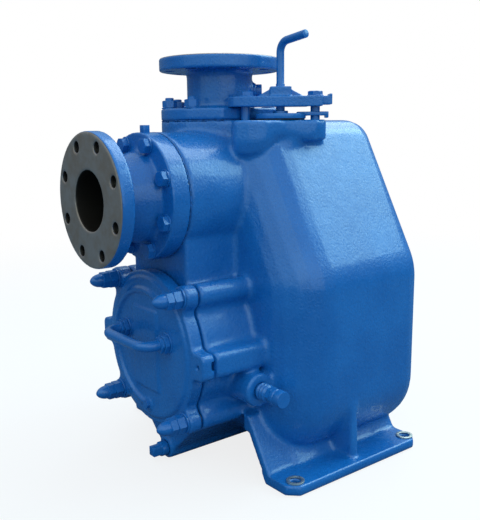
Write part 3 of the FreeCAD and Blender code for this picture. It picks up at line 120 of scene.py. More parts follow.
def node(tree, kind, settings, inputs):
    """Adds a node and returns its outputs as channels; ramp stops come in settings."""
    item = tree.nodes.new(kind)
    for name, value in settings.items():
        if name == "stops":
            ramp = item.color_ramp
            while len(ramp.elements) > 1:
                ramp.elements.remove(ramp.elements[-1])
            ramp.elements[0].position, ramp.elements[0].color = value[0]
            for position, colour in value[1:]:
                ramp.elements.new(position).color = colour
        else:
            setattr(item, name, value)
    for name, value in inputs.items():
        if isinstance(value, Channel):
            tree.links.new(value.socket, item.inputs[name])
        else:
            item.inputs[name].default_value = value
    return [Channel(tree, socket) for socket in item.outputs]


def maths(tree, operation, *values):
    """One maths node over channels and numbers."""
    return node(tree, "ShaderNodeMath", {"operation": operation}, dict(enumerate(values)))[0]


def steps(tree, value, low, high):
    """0 below low, 1 above high, with a smooth rise between."""
    return node(tree, "ShaderNodeMapRange", {"interpolation_type": "SMOOTHSTEP"},
                {"Value": value, "From Min": low, "From Max": high})[0]


def noise(tree, place, scale, detail=2.0, roughness=0.5):
    """Noise about 0.5; scale counts its waves in a metre."""
    inputs = {"Vector": place, "Scale": scale, "Detail": detail, "Roughness": roughness}
    return node(tree, "ShaderNodeTexNoise", {}, inputs)[0]


def mix_colour(tree, factor, first, second):
    """The first colour at factor 0 and the second at 1."""
    item = node(tree, "ShaderNodeMix", {"data_type": "RGBA"}, {})
    mixer = item[0].socket.node
    for socket, value in ((mixer.inputs[0], factor), (mixer.inputs[6], first), (mixer.inputs[7], second)):
        if isinstance(value, Channel):
            tree.links.new(value.socket, socket)
        else:
            socket.default_value = value
    return Channel(tree, mixer.outputs[2])


def new_material(name):
    """An empty material with its principled shader and its Object coordinates."""
    material = bpy.data.materials.new(name)
    material.use_nodes = True
    tree = material.node_tree
    shader = tree.nodes["Principled BSDF"]
    place = node(tree, "ShaderNodeTexCoord", {}, {})[3]
    return material, tree, shader, place


def split(tree, place):
    """X, Y and Z of a place or a direction."""
    return node(tree, "ShaderNodeSeparateXYZ", {}, {"Vector": place})


def mixed_shaders(tree, factor, first, second):
    """The output of a Mix Shader node between two shader outputs."""
    mixer = tree.nodes.new("ShaderNodeMixShader")
    tree.links.new(factor.socket, mixer.inputs[0])
    tree.links.new(first, mixer.inputs[1])
    tree.links.new(second, mixer.inputs[2])
    return mixer.outputs[0]


def link(tree, channel, shader, name):
    """Joins a channel to an input of a shader."""
    tree.links.new(channel.socket, shader.inputs[name])


def bump(tree, shader, height, distance):
    """Relief of the given depth in metres in the shader's normal."""
    relief = node(tree, "ShaderNodeBump", {}, {"Height": height, "Distance": distance, "Strength": 1.0})[0]
    link(tree, relief, shader, "Normal")


def colour(rgb):
    """A colour of three values with full alpha."""
    return (rgb[0], rgb[1], rgb[2], 1.0)


def enamel(settings, name, cast_depth, bare_face=None):
    """Thick glossy enamel; cast_depth is the height in metres of the sand texture under it."""
    material, tree, shader, place = new_material(name)
    base, deep = colour(settings.paint), colour(settings.paint_deep)
    clouds = noise(tree, place, 9.0, 3.0)
    tint = mix_colour(tree, steps(tree, clouds, 0.35, 0.7), deep, base)
    specks = noise(tree, place, 900.0, 1.0)
    tint = mix_colour(tree, steps(tree, specks, 0.70, 0.78) * 0.25, tint, deep)
    streaks = noise(tree, place, 55.0, 3.0, 0.6)
    rough = steps(tree, streaks, 0.3, 0.75) * 0.12 + settings.paint_roughness
    orange_peel = noise(tree, place, 420.0, 2.0)
    sand = noise(tree, place, 230.0, 2.0, 0.5)
    swell = noise(tree, place, 32.0, 2.0)
    height = swell * 1.3 + sand * 1.1 + orange_peel * 0.5
    metallic = None
    if bare_face is not None:
        mask, bare_colour, bare_rough = bare_face(tree, place)
        tint = mix_colour(tree, mask, tint, bare_colour)
        rough = rough + mask * (bare_rough - rough)
        metallic = mask * 0.75
        height = height * (1.0 - mask)
    bump(tree, shader, height, cast_depth)
    link(tree, tint, shader, "Base Color")
    link(tree, rough, shader, "Roughness")
    if metallic is not None:
        link(tree, metallic, shader, "Metallic")
        link(tree, (1.0 - mask) * settings.paint_coat, shader, "Coat Weight")
    else:
        shader.inputs["Coat Weight"].default_value = settings.paint_coat
    shader.inputs["Coat Roughness"].default_value = 0.12
    return material


def ring_distance(tree, across, upward):
    """Distance from a centre line, from the two coordinates square to it."""
    return maths(tree, "SQRT", across * across + upward * upward)


def turned_face(settings, port):
    """The bare face, bore and bolt holes of a flange: their mask, colour and roughness for the enamel."""
    def build(tree, place):
        axes = split(tree, place)
        if port == "suction":
            across, upward = axes[0] - SUCTION_CENTRE.x, axes[2] - SUCTION_CENTRE.z
            depth = axes[1] - SUCTION_CENTRE.y
        else:
            across, upward = axes[0] - DISCHARGE_CENTRE.x, axes[1] - DISCHARGE_CENTRE.y
            depth = DISCHARGE_CENTRE.z - axes[2]
        reach = ring_distance(tree, across, upward)
        face = 1.0 - steps(tree, depth, 0.0008, 0.0022)
        bore = 1.0 - steps(tree, reach, PIPE_BORE + 0.0008, PIPE_BORE + 0.0014)
        # all bolt holes at once: the angle is folded onto one of them
        half_pitch = math.pi / FLANGE_HOLES
        angle = maths(tree, "ARCTAN2", upward, across)
        fold = maths(tree, "PINGPONG", angle + 2 * math.pi, half_pitch)
        off_hole = maths(tree, "COSINE", half_pitch - fold)
        apart = reach * reach + FLANGE_CIRCLE ** 2 - reach * off_hole * (2 * FLANGE_CIRCLE)
        hole = 1.0 - steps(tree, apart, (FLANGE_HOLE + 0.0002) ** 2, (FLANGE_HOLE + 0.0008) ** 2)
        hole = hole * (1.0 - steps(tree, depth, FLANGE_THICK + 0.0005, FLANGE_THICK + 0.0015))
        walls = maths(tree, "MAXIMUM", bore, hole)
        mask = maths(tree, "MAXIMUM", face, walls)
        blotches = noise(tree, place, 38.0, 4.0, 0.6)
        grey, brown = colour(settings.bare_grey), colour(settings.bare_brown)
        tint = mix_colour(tree, steps(tree, blotches, 0.35, 0.68), grey, brown)
        rings = maths(tree, "SINE", reach * 5200.0)
        tint = mix_colour(tree, steps(tree, rings, 0.2, 1.0) * 0.22, tint, colour(settings.bare_light))
        # the walls of the bore and of the bolt holes get a near-black brown: partly rust, partly painted
        # shade in the holes
        tint = mix_colour(tree, walls * (1.0 - face), tint, colour(settings.bore_rust_and_shade))
        rough = steps(tree, rings, -1.0, 1.0) * 0.1 + 0.42
        return mask, tint, rough
    return build


def metal(name, base, roughness, spread, grain, metallic=1.0):
    """Bare metal with fine grain and a little staining."""
    material, tree, shader, place = new_material(name)
    stain = noise(tree, place, 26.0, 4.0, 0.6)
    dark = tuple(channel * 0.62 for channel in base)
    tint = mix_colour(tree, steps(tree, stain, 0.4, 0.75) * 0.7, colour(base), colour(dark))
    scratch = noise(tree, place, grain, 2.0)
    rough = steps(tree, scratch, 0.3, 0.7) * spread + roughness
    link(tree, tint, shader, "Base Color")
    link(tree, rough, shader, "Roughness")
    shader.inputs["Metallic"].default_value = metallic
    bump(tree, shader, scratch, 0.00006)
    return material


def dull_sheet(name, base):
    """Rubber and painted gasket edges: dull, slightly mottled."""
    material, tree, shader, place = new_material(name)
    mottle = noise(tree, place, 160.0, 3.0)
    light = tuple(channel * 2.2 + 0.01 for channel in base)
    tint = mix_colour(tree, steps(tree, mottle, 0.35, 0.7), colour(base), colour(light))
    link(tree, tint, shader, "Base Color")
    link(tree, steps(tree, mottle, 0.2, 0.8) * 0.2 + 0.6, shader, "Roughness")
    bump(tree, shader, mottle, 0.0002)
    return material


# Mesh helpers
def merged_form(*nodes):
    """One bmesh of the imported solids, their doubles merged and flat faces joined."""
    form = bmesh.new()
    for name in nodes:
        form.from_mesh(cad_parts[name].data)
    bmesh.ops.remove_doubles(form, verts=form.verts, dist=1e-6)
    bmesh.ops.dissolve_limit(form, angle_limit=math.radians(0.6), verts=form.verts, edges=form.edges)
    return form


def show_smooth(mesh, angle=32.0):
    """Smooth shading with sharp edges where the surface turns by more than the angle."""
    mesh.polygons.foreach_set("use_smooth", [True] * len(mesh.polygons))
    mesh.set_sharp_from_angle(angle=math.radians(angle))


def place_piece(name, mesh, nodes, material, body="pump"):
    """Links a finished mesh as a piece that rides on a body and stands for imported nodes."""
    mesh.materials.clear()
    mesh.materials.append(material)
    piece = bpy.data.objects.new(name, mesh)
    bpy.context.scene.collection.objects.link(piece)
    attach(piece, body)
    if nodes:
        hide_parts(*nodes)
    return piece


def mesh_from(form, name):
    """The mesh of a bmesh, which is used up."""
    mesh = bpy.data.meshes.new(name)
    form.to_mesh(mesh)
    form.free()
    return mesh


def applied(mesh, *modifiers):
    """The mesh after a list of (type, settings) modifiers."""
    holder = bpy.data.objects.new("holder", mesh)
    bpy.context.scene.collection.objects.link(holder)
    for kind, settings in modifiers:
        modifier = holder.modifiers.new(kind, kind)
        for key, value in settings.items():
            setattr(modifier, key, value)
    graph = bpy.context.evaluated_depsgraph_get()
    result = bpy.data.meshes.new_from_object(holder.evaluated_get(graph))
    bpy.data.objects.remove(holder)
    return result


def fill_hollows(mesh, passes, soft=()):
    """Grows rounds in the hollow corners of a casting; its ridges stay, but for the balls in soft."""
    count = len(mesh.vertices)
    edges = np.empty(len(mesh.edges) * 2, np.int32)
    mesh.edges.foreach_get("vertices", edges)
    edges = edges.reshape(-1, 2)
    both = np.concatenate([edges, edges[:, ::-1]])
    degree = np.maximum(np.bincount(both[:, 0], minlength=count), 1)
    points = np.empty(count * 3, np.float32)
    mesh.vertices.foreach_get("co", points)
    points = points.reshape(-1, 3).astype(np.float64)
    normals = np.empty(count * 3, np.float32)

    def to_neighbours():
        """From each point to the middle of its neighbours."""
        middle = np.stack([np.bincount(both[:, 0], weights=points[both[:, 1], axis], minlength=count)
                           for axis in range(3)], 1) / degree[:, None]
        return middle - points

    if soft:
        inside = np.zeros(count, bool)
        for centre, reach in soft:
            inside |= np.linalg.norm(points - np.array(centre), axis=1) < reach
        for turn in range(SOFT_PASSES):
            points += np.where(inside, 0.5, 0.0)[:, None] * to_neighbours()
    for turn in range(passes):
        if turn % NORMALS_EVERY == 0:
            mesh.vertices.foreach_set("co", points.astype(np.float32).ravel())
            mesh.update()
            mesh.vertices.foreach_get("normal", normals)
            outward = normals.reshape(-1, 3).astype(np.float64)
        pull = to_neighbours()
        rise = (pull * outward).sum(1)
        ridge_share = RIDGE_SHARE if turn < RIDGE_PASSES else 0.0
        points += np.where(rise > 0, 1.0, ridge_share)[:, None] * 0.5 * pull
    mesh.vertices.foreach_set("co", points.astype(np.float32).ravel())
    mesh.update()


def casting(name, nodes, material, voxel, passes, body="pump", plugs=(), added=None, soft=(), cutter=None):
    """A cast piece: its solids with soft edges, filled corners and blended joints."""
    form = merged_form(*nodes)
    if added:
        added(form)
    for radius, depth, matrix in plugs:
        bmesh.ops.create_cone(form, cap_ends=True, segments=48, radius1=radius, radius2=radius, depth=depth,
                              matrix=matrix)
    modifiers = [("REMESH", {"mode": "VOXEL", "voxel_size": voxel})]
    if cutter:
        tool = bpy.data.objects.new("cutter", mesh_from(cutter, "cutter"))
        bpy.context.scene.collection.objects.link(tool)
        modifiers.append(("BOOLEAN", {"operation": "DIFFERENCE", "object": tool, "solver": "FAST"}))
    mesh = applied(mesh_from(form, name), *modifiers)
    if cutter:
        bpy.data.objects.remove(tool)
    fill_hollows(mesh, passes, soft)
    triangles = sum(len(face.vertices) - 2 for face in mesh.polygons)
    if triangles > MOST_TRIANGLES:
        mesh = applied(mesh, ("DECIMATE", {"ratio": MOST_TRIANGLES / triangles}))
    mesh.polygons.foreach_set("use_smooth", [True] * len(mesh.polygons))
    mesh.name = name
    return place_piece(name, mesh, nodes, material, body)


def machined(name, nodes, material, edge, body="pump", grown=0.0):
    """A machined or bent piece: its solids with small broken edges and smooth rounds."""
    form = merged_form(*nodes)
    if grown:
        form.normal_update()
        for vertex in form.verts:
            vertex.co += vertex.normal * grown
    mesh = mesh_from(form, name)
    if edge:
        mesh = applied(mesh, ("BEVEL", {"width": edge, "segments": 2, "limit_method": "ANGLE",
                                        "angle_limit": math.radians(34.0), "use_clamp_overlap": True}))
    show_smooth(mesh)
    mesh.name = name
    return place_piece(name, mesh, nodes, material, body)


def facing(direction, spot=(0.0, 0.0, 0.0)):
    """A matrix that turns +Z to a direction and moves to a spot."""
    return Matrix.Translation(Vector(spot)) @ Vector(direction).to_track_quat("Z", "Y").to_matrix().to_4x4()


def ring(radius, height):
    """A round ring for skinned()."""
    return lambda angle: (radius, height)


def six_sided(flats, height, slope=0.0):
    """A six-sided ring for skinned(); slope lowers or lifts its corners as a chamfer does."""
    def at(angle):
        radius = flats / 2 / math.cos(angle % (math.pi / 3) - math.pi / 6)
        return radius, height + slope * (radius - flats * 0.48)
    return at


def nut_rings(flats, low, high, chamfer_low=True):
    """Rings of a chamfered hexagon between two heights."""
    first = [ring(flats * 0.48, low), six_sided(flats, low, 0.5)] if chamfer_low else [six_sided(flats, low)]
    return first + [six_sided(flats, high, -0.5), ring(flats * 0.48, high)]


def lofted(form, loops):
    """Closes a row of loops of points into one solid form."""
    rows = [[form.verts.new(point) for point in loop] for loop in loops]
    for low, high in zip(rows, rows[1:]):
        for step, vertex in enumerate(low):
            after = (step + 1) % len(low)
            form.faces.new((vertex, low[after], high[after], high[step]))
    form.faces.new(rows[0][::-1])
    form.faces.new(rows[-1])


def skinned(form, rings, matrix, segments=36):
    """Skins rings into one closed form; a ring gives radius and height for an angle."""
    loops = []
    for at in rings:
        angles = [2 * math.pi * step / segments for step in range(segments)]
        sizes = [at(angle) for angle in angles]
        loops.append([matrix @ Vector((radius * math.cos(angle), radius * math.sin(angle), height))
                      for angle, (radius, height) in zip(angles, sizes)])
    lofted(form, loops)


def arc_bead(form, matrix, radius, half, low, high, start, sweep, count=48):
    """A rounded bead along an arc in the XY plane of a matrix; start and sweep in degrees."""
    shoulder, crown = (low + high * 2) / 3, half * 0.55
    profile = [(-half, low), (half, low), (half, shoulder), (crown, high), (-crown, high), (-half, shoulder)]
    loops = []
    for step in range(count + 1):
        angle = math.radians(start + sweep * step / count)
        across, upward = math.cos(angle), math.sin(angle)
        loops.append([matrix @ Vector(((radius + out) * across, (radius + out) * upward, height))
                      for out, height in profile])
    lofted(form, loops)


def slab(form, matrix, left, right, bottom, top, low, high):
    """A rectangular pad standing on the XY plane of a matrix."""
    corners = ((left, bottom), (right, bottom), (right, top), (left, top))
    lofted(form, [[matrix @ Vector((x, y, z)) for x, y in corners] for z in (low, high)])


FRONT = Matrix.Rotation(math.radians(90), 4, "X")
BACK = Matrix.Rotation(math.radians(-90), 4, "X")
UP = Matrix.Identity(4)


def round_places(count, radius, first, centre, turn, pitch=None):
    """Places round a circle, each with its own Z along the turned Z axis."""
    pitch = pitch or 360.0 / count
    spots = []
    for index in range(count):
        angle = math.radians(first + index * pitch)
        offset = turn @ Vector((radius * math.cos(angle), radius * math.sin(angle), 0.0))
        spots.append(Matrix.Translation(Vector(centre) + offset) @ turn)
    return spots


def stacked_piece(name, stacks, places, nodes, material):
    """One piece of several skinned stacks of rings at each of the places."""
    form = bmesh.new()
    for place in places:
        for rings in stacks:
            skinned(form, rings, place)
    mesh = mesh_from(form, name)
    show_smooth(mesh, 24.0)
    return place_piece(name, mesh, nodes, material)


def washer_rings(radius, low, high):
    """Rings of a washer with small broken edges between two heights."""
    return [ring(radius - 0.0004, low), ring(radius, low + 0.0004), ring(radius, high - 0.0005),
            ring(radius - 0.0006, high)]


# Sizes and colours
class PaintSettings(bpy.types.PropertyGroup):
    paint: bpy.props.FloatVectorProperty(
        name="Enamel", description="Main colour of the enamel",
        size=3, subtype="COLOR", min=0.0, max=1.0, default=(0.013, 0.170, 0.50))
    paint_deep: bpy.props.FloatVectorProperty(
        name="Enamel, thin", description="Colour where the enamel is thin",
        size=3, subtype="COLOR", min=0.0, max=1.0, default=(0.008, 0.140, 0.44))
    paint_roughness: bpy.props.FloatProperty(
        name="Roughness", description="Roughness of the enamel",
        subtype="FACTOR", min=0.0, max=1.0, default=0.22)
    paint_coat: bpy.props.FloatProperty(
        name="Gloss", description="Weight of the clear gloss",
        subtype="FACTOR", min=0.0, max=1.0, default=0.5)
    cast_texture: bpy.props.FloatProperty(
        name="Cast texture", description="Depth of the sand texture",
        unit="LENGTH", min=0.0, max=0.003, default=0.0008)
    bare_grey: bpy.props.FloatVectorProperty(
        name="Bare iron", description="Turned flange face, grey",
        size=3, subtype="COLOR", min=0.0, max=1.0, default=(0.47, 0.335, 0.275))
    bare_brown: bpy.props.FloatVectorProperty(
        name="Stained iron", description="Turned flange face, brown",
        size=3, subtype="COLOR", min=0.0, max=1.0, default=(0.42, 0.26, 0.185))
    bare_light: bpy.props.FloatVectorProperty(
        name="Tool rings", description="Tool rings of the flange face",
        size=3, subtype="COLOR", min=0.0, max=1.0, default=(0.56, 0.46, 0.38))
    # near-black brown for the bore and bolt-hole walls: partly rust, partly painted shade in the holes
    bore_rust_and_shade: bpy.props.FloatVectorProperty(
        name="Bore", description="Wall of the flange's bore and of its bolt holes",
        size=3, subtype="COLOR", min=0.0, max=1.0, default=(0.045, 0.03, 0.022))


class CastingSettings(bpy.types.PropertyGroup):
    body_grain: bpy.props.FloatProperty(
        name="Casing grain", description="Mesh size of the main casing",
        unit="LENGTH", min=0.002, max=0.02, default=0.0036)
    part_grain: bpy.props.FloatProperty(
        name="Part grain", description="Mesh size of the smaller castings",
        unit="LENGTH", min=0.001, max=0.01, default=0.0022)
    body_rounds: bpy.props.IntProperty(
        name="Casing rounds", description="How far the casing's hollow corners are filled",
        min=0, max=400, default=9)
    part_rounds: bpy.props.IntProperty(
        name="Part rounds", description="How far the hollow corners of the adapters are filled",
        min=0, max=400, default=24)
    handle_paint: bpy.props.FloatProperty(
        name="Handle paint", description="Thickness of the paint on the cover's handle",
        unit="LENGTH", min=0.0, max=0.003, default=0.0012)


class FastenerSettings(bpy.types.PropertyGroup):
    edge: bpy.props.FloatProperty(
        name="Broken edge", description="Width of a small broken edge",
        unit="LENGTH", min=0.0, max=0.005, default=0.0009)


class StageSettings(bpy.types.PropertyGroup):
    floor: bpy.props.FloatVectorProperty(
        name="Floor", description="Colour of the floor",
        size=3, subtype="COLOR", min=0.0, max=1.0, default=(0.9, 0.9, 0.9))
    floor_glow: bpy.props.FloatProperty(
        name="Floor glow", description="Share of plain white in the floor near the pump",
        subtype="FACTOR", min=0.0, max=1.0, default=0.82)
    ground: bpy.props.FloatVectorProperty(
        name="Ground", description="Floor as the pump reflects it",
        size=3, subtype="COLOR", min=0.0, max=1.0, default=(0.12, 0.18, 0.25))
    horizon: bpy.props.FloatVectorProperty(
        name="Horizon", description="Colour of the sky's low part",
        size=3, subtype="COLOR", min=0.0, max=1.0, default=(0.07, 0.14, 0.22))
    zenith: bpy.props.FloatVectorProperty(
        name="Zenith", description="Colour of the sky overhead",
        size=3, subtype="COLOR", min=0.0, max=1.0, default=(0.62, 0.84, 1.0))
    sky: bpy.props.FloatProperty(
        name="Sky", description="Strength of the sky's light", min=0.0, max=5.0, default=0.86)
    overhead: bpy.props.FloatProperty(
        name="Overhead", description="Power of the overhead lamp",
        unit="POWER", min=0.0, max=2000.0, default=44.0)
    panel: bpy.props.FloatProperty(
        name="Side panel", description="Power of the large panel behind the right side",
        unit="POWER", min=0.0, max=2000.0, default=46.0)
    right: bpy.props.FloatProperty(
        name="Right", description="Power of the lamp on the right side",
        unit="POWER", min=0.0, max=2000.0, default=18.0)
    front: bpy.props.FloatProperty(
        name="Front", description="Power of the front lamp",
        unit="POWER", min=0.0, max=2000.0, default=30.0)


class PumpSettings(bpy.types.PropertyGroup):
    paint: bpy.props.PointerProperty(type=PaintSettings)
    castings: bpy.props.PointerProperty(type=CastingSettings)
    fasteners: bpy.props.PointerProperty(type=FastenerSettings)
    stage: bpy.props.PointerProperty(type=StageSettings)


FINISHES = {}


def finish(name):
    """A finish by its name, made when it is first asked for."""
    if name in FINISHES:
        return FINISHES[name]
    paint = bpy.context.scene.pump.paint
    texture = paint.cast_texture
    makers = {
        "casting enamel": lambda: enamel(paint, name, texture),
        "suction enamel": lambda: enamel(paint, name, texture * 0.8, turned_face(paint, "suction")),
        "discharge enamel": lambda: enamel(paint, name, texture * 0.8, turned_face(paint, "discharge")),
        "smooth enamel": lambda: enamel(paint, name, texture * 0.3),
        "steel": lambda: metal(name, (0.62, 0.61, 0.58), 0.24, 0.2, 700.0),
        "zinc": lambda: metal(name, (0.66, 0.65, 0.6), 0.34, 0.2, 420.0),
        "iron": lambda: metal(name, (0.16, 0.15, 0.14), 0.5, 0.25, 240.0, 0.8),
        "rubber": lambda: dull_sheet(name, (0.012, 0.012, 0.012)),
        "painted seam": lambda: dull_sheet(name, (0.008, 0.07, 0.22)),
        "glass": lambda: metal(name, (0.75, 0.68, 0.45), 0.08, 0.05, 300.0, 0.0),
    }
    FINISHES[name] = makers[name]()
    return FINISHES[name]


# Pieces
class PUMP_OT_casing(bpy.types.Operator):
    """Main casing: tank, suction neck, column, housing and feet as one casting"""
    bl_idname = "pump.casing"
    bl_label = "Main casing"

    def execute(self, context):
        settings = context.scene.pump.castings
        deck = Matrix.Translation(FILL_CENTRE) @ Matrix.Rotation(FILL_TURN, 4, "Z")
        # radius, length and place of the plugs that close the casing's hollows before it is remeshed
        upright = (0.0, 0.0, 1.0)
        plugs = [
            (0.137, 0.385, facing((0.0, 1.0, 0.0), (0.0, -0.0175, SHAFT_HEIGHT))),
            (0.058, 0.012, facing(upright, (DISCHARGE_CENTRE.x, DISCHARGE_CENTRE.y, TOP_PLANE))),
            (0.037, 0.012, facing(upright, (FILL_CENTRE.x, FILL_CENTRE.y, TOP_PLANE))),
        ]
        # the underside of the pad's right end is rounded
        soft = [(deck @ Vector((0.0625, 0.0, -0.044)), 0.022)]

        def pad_section(along_bar, reach, low, slope):
            """The fill pad at one place of the bar: flat on top, its underside rolled back."""
            return [deck @ Vector((along_bar, -out, height)) for out, height in (
                (-0.010, -0.0005), (reach, -0.0005), (reach, low + slope),
                (reach - slope * 0.22, low + slope * 0.4), (reach - slope * 0.62, low + slope * 0.08),
                (reach - slope, low), (-0.010, low))]

        def pads(form):
            # along the bar: place, how far the pad stands out, its underside, the height of the roll under it
            lofted(form, [pad_section(*station) for station in (
                (-0.087, 0.056, -0.050, 0.022), (-0.0845, 0.067, -0.063, 0.026),
                (-0.078, 0.074, -0.068, 0.030), (-0.060, 0.076, -0.070, 0.032),
                (-0.042, 0.074, -0.068, 0.030), (-0.028, 0.068, -0.059, 0.026),
                (-0.015, 0.060, -0.043, 0.020), (-0.004, 0.053, -0.033, 0.013),
                (0.008, 0.046, -0.029, 0.009), (0.024, 0.039, -0.032, 0.010),
                (0.040, 0.034, -0.038, 0.012), (0.052, 0.031, -0.039, 0.013),
                (0.062, 0.027, -0.035, 0.012), (0.070, 0.023, -0.024, 0.010))])
            # the fillet that closes the belly down to each foot's plate
            for side in (-1, 1):
                outline = [(0.192, 0.008), (0.216, 0.008), (0.212, 0.020), (0.194, 0.045), (0.176, 0.050),
                           (0.172, 0.036)][::side]
                lofted(form, [[(x * side, y, z) for x, z in outline] for y in (0.100, -0.104)])

        # the plate of each foot is set back behind its front leg
        gap = bmesh.new()
        for side in (-1, 1):
            outline = [(0.140, -0.002), (0.2020, -0.002), (0.1876, 0.0226), (0.140, 0.0226)][::side]
            lofted(gap, [[(x * side, y, z) for x, z in outline] for y in (-0.100, -0.175)])
        casting("casing", ["pump_casing"], finish("casting enamel"), settings.body_grain,
                settings.body_rounds, plugs=plugs, added=pads, soft=soft, cutter=gap)
        return {"FINISHED"}


class PUMP_OT_adapters(bpy.types.Operator):
    """Suction and discharge adapters with their turned faces"""
    bl_idname = "pump.adapters"
    bl_label = "Flanged adapters"

    def execute(self, context):
        settings = context.scene.pump.castings
        for port in ("suction", "discharge"):
            casting(f"{port}_flange", [f"{port}_adapter"], finish(f"{port} enamel"), settings.part_grain,
                    settings.part_rounds)
        return {"FINISHED"}


class PUMP_OT_cover(bpy.types.Operator):
    """Clean-out cover casting, its handle and its small plug"""
    bl_idname = "pump.cover"
    bl_label = "Clean-out cover"

    def execute(self, context):
        settings = context.scene.pump.castings
        paint = finish("smooth enamel")
        face = Matrix.Translation((0.0, COVER_FACE, SHAFT_HEIGHT)) @ FRONT
        plug = face @ Matrix.Translation((0.002, -0.1075, 0.0))

        def relief(form):
            skinned(form, [ring(0.131, -0.006), ring(0.131, -0.0002), ring(0.1285, 0.0014)], face, 96)
            slab(form, face, -0.041, 0.041, -0.076, 0.074, -0.002, 0.0050)
            arc_bead(form, face, 0.1075, 0.0050, -0.002, 0.0075, 62.0, 208.0)
            skinned(form, [ring(0.0125, -0.002), ring(0.0125, 0.003), ring(0.011, 0.0045)], plug)

        # pry notch behind the right ear
        notch = bmesh.new()
        lofted(notch, [[(0.1655, y, 0.2225), (0.1760, y, 0.2225), (0.1760, y, 0.2385), (0.1655, y, 0.2385)]
                       for y in (-0.2440, -0.2620)])
        casting("cover", ["front_cover"], finish("casting enamel"), settings.part_grain, 5, added=relief,
                cutter=notch)
        machined("cover_grip", ["cover_handle"], paint, 0.0012, grown=settings.handle_paint)
        stacked_piece("cover_blank_plug", [nut_rings(0.014, 0.004, 0.0105, False)], [plug], [], paint)
        return {"FINISHED"}


class PUMP_OT_cover_fasteners(bpy.types.Operator):
    """Washers, nuts and domed cap nuts of the clean-out cover, and the nuts of its handle"""
    bl_idname = "pump.cover_fasteners"
    bl_label = "Cover fasteners"

    def execute(self, context):
        paint = finish("smooth enamel")
        lobes = [Matrix.Translation((x, COVER_RIM, SHAFT_HEIGHT + z)) @ FRONT
                 for x in (-LOBE_OFFSET, LOBE_OFFSET) for z in (-LOBE_OFFSET, LOBE_OFFSET)]
        stacked_piece("cover_washer_set", [washer_rings(0.019, 0.0, 0.003)], lobes, ["cover_washers"], paint)
        stacked_piece("cover_nut_set", [nut_rings(0.030, 0.0030, 0.0190)], lobes, ["cover_nuts"], paint)
        dome = [ring(0.0128, 0.0325), ring(0.0126, 0.0365), ring(0.0117, 0.0415), ring(0.0099, 0.0462),
                ring(0.0072, 0.0502), ring(0.0040, 0.0532), ring(0.0006, 0.0547)]
        stacked_piece("cover_cap_set", [nut_rings(0.028, 0.0190, 0.0325)[:-1] + dome], lobes,
                      ["cover_cap_nuts"], paint)
        grips = [Matrix.Translation((x, COVER_FACE, SHAFT_HEIGHT + 0.024)) @ FRONT for x in (-0.07, 0.07)]
        pair = [washer_rings(0.0195, 0.0, 0.0035), nut_rings(0.031, 0.0036, 0.0125),
                nut_rings(0.026, 0.0127, 0.0185)]
        stacked_piece("grip_nut_set", pair, grips, [], paint)
        return {"FINISHED"}


class PUMP_OT_flange_fasteners(bpy.types.Operator):
    """Bolts and studs of the two adapters, the bearing housing and its cap, and the foot washers"""
    bl_idname = "pump.flange_fasteners"
    bl_label = "Flange fasteners"

    def execute(self, context):
        paint, zinc = finish("smooth enamel"), finish("zinc")
        washer = washer_rings(0.015, 0.0, 0.0025)
        bolt = [washer, nut_rings(0.024, 0.0026, 0.0125, False)]
        joint = round_places(8, 0.096, 22.5, (0.0, -0.2865, SUCTION_CENTRE.z), FRONT)
        stacked_piece("suction_bolt_set", bolt, joint, ["suction_bolts"], paint)
        rear = round_places(8, 0.149, 22.5, (0.0, 0.205, SHAFT_HEIGHT), BACK)
        stacked_piece("rear_bolt_set", bolt, rear, ["bearing_housing_bolts"], paint)
        stud = [washer, nut_rings(0.024, 0.0026, 0.0155),
                [ring(0.008, 0.0154), ring(0.008, 0.0196), ring(0.0070, 0.0205)]]
        centre = (DISCHARGE_CENTRE.x, DISCHARGE_CENTRE.y, DISCHARGE_BASE_TOP)
        base = round_places(6, 0.098, 67.5, centre, UP, 45.0)
        stacked_piece("discharge_stud_set", stud, base, ["discharge_bolts"], paint)
        socket = [[ring(0.0068, 0.0), ring(0.007, 0.0003), ring(0.007, 0.0074), ring(0.0064, 0.008),
                   ring(0.0036, 0.008), six_sided(0.006, 0.0078), six_sided(0.006, 0.004)]]
        cap = round_places(6, 0.066, 0.0, (0.0, 0.314, SHAFT_HEIGHT), BACK)
        stacked_piece("cap_screw_set", socket, cap, ["bearing_cap_screws"], zinc)
        machined("foot_washer_set", ["foot_washers"], zinc, 0.0004)
        return {"FINISHED"}


class PUMP_OT_fill_port(bpy.types.Operator):
    """Fill cover, clamp bar, its two bolts and the bent clamp screw"""
    bl_idname = "pump.fill_port"
    bl_label = "Fill port"

    def execute(self, context):
        edge = context.scene.pump.fasteners.edge
        paint = finish("smooth enamel")
        machined("fill_lid", ["fill_cover"], paint, edge * 1.6, "fill_cover")
        casting("fill_bar", ["clamp_bar"], finish("casting enamel"), 0.0013, 10, "clamp_bar")
        machined("fill_screw", ["clamp_screw"], paint, edge * 0.8, "clamp_screw")
        along = Vector((math.cos(FILL_TURN), math.sin(FILL_TURN), 0.0)) * CLAMP_SPACING
        spots = [Matrix.Translation(FILL_CENTRE + along * side) for side in (-1, 1)]
        top = BAR_TOP - FILL_CENTRE.z
        bolt = [[ring(0.0085, -0.02), ring(0.0085, top + 0.002)],
                washer_rings(0.015, top + 0.0001, top + 0.002),
                nut_rings(0.024, top + 0.0021, top + CLAMP_HEAD, False)]
        stacked_piece("clamp_bolt_set", bolt, spots, ["clamp_bolts"], paint)
        return {"FINISHED"}


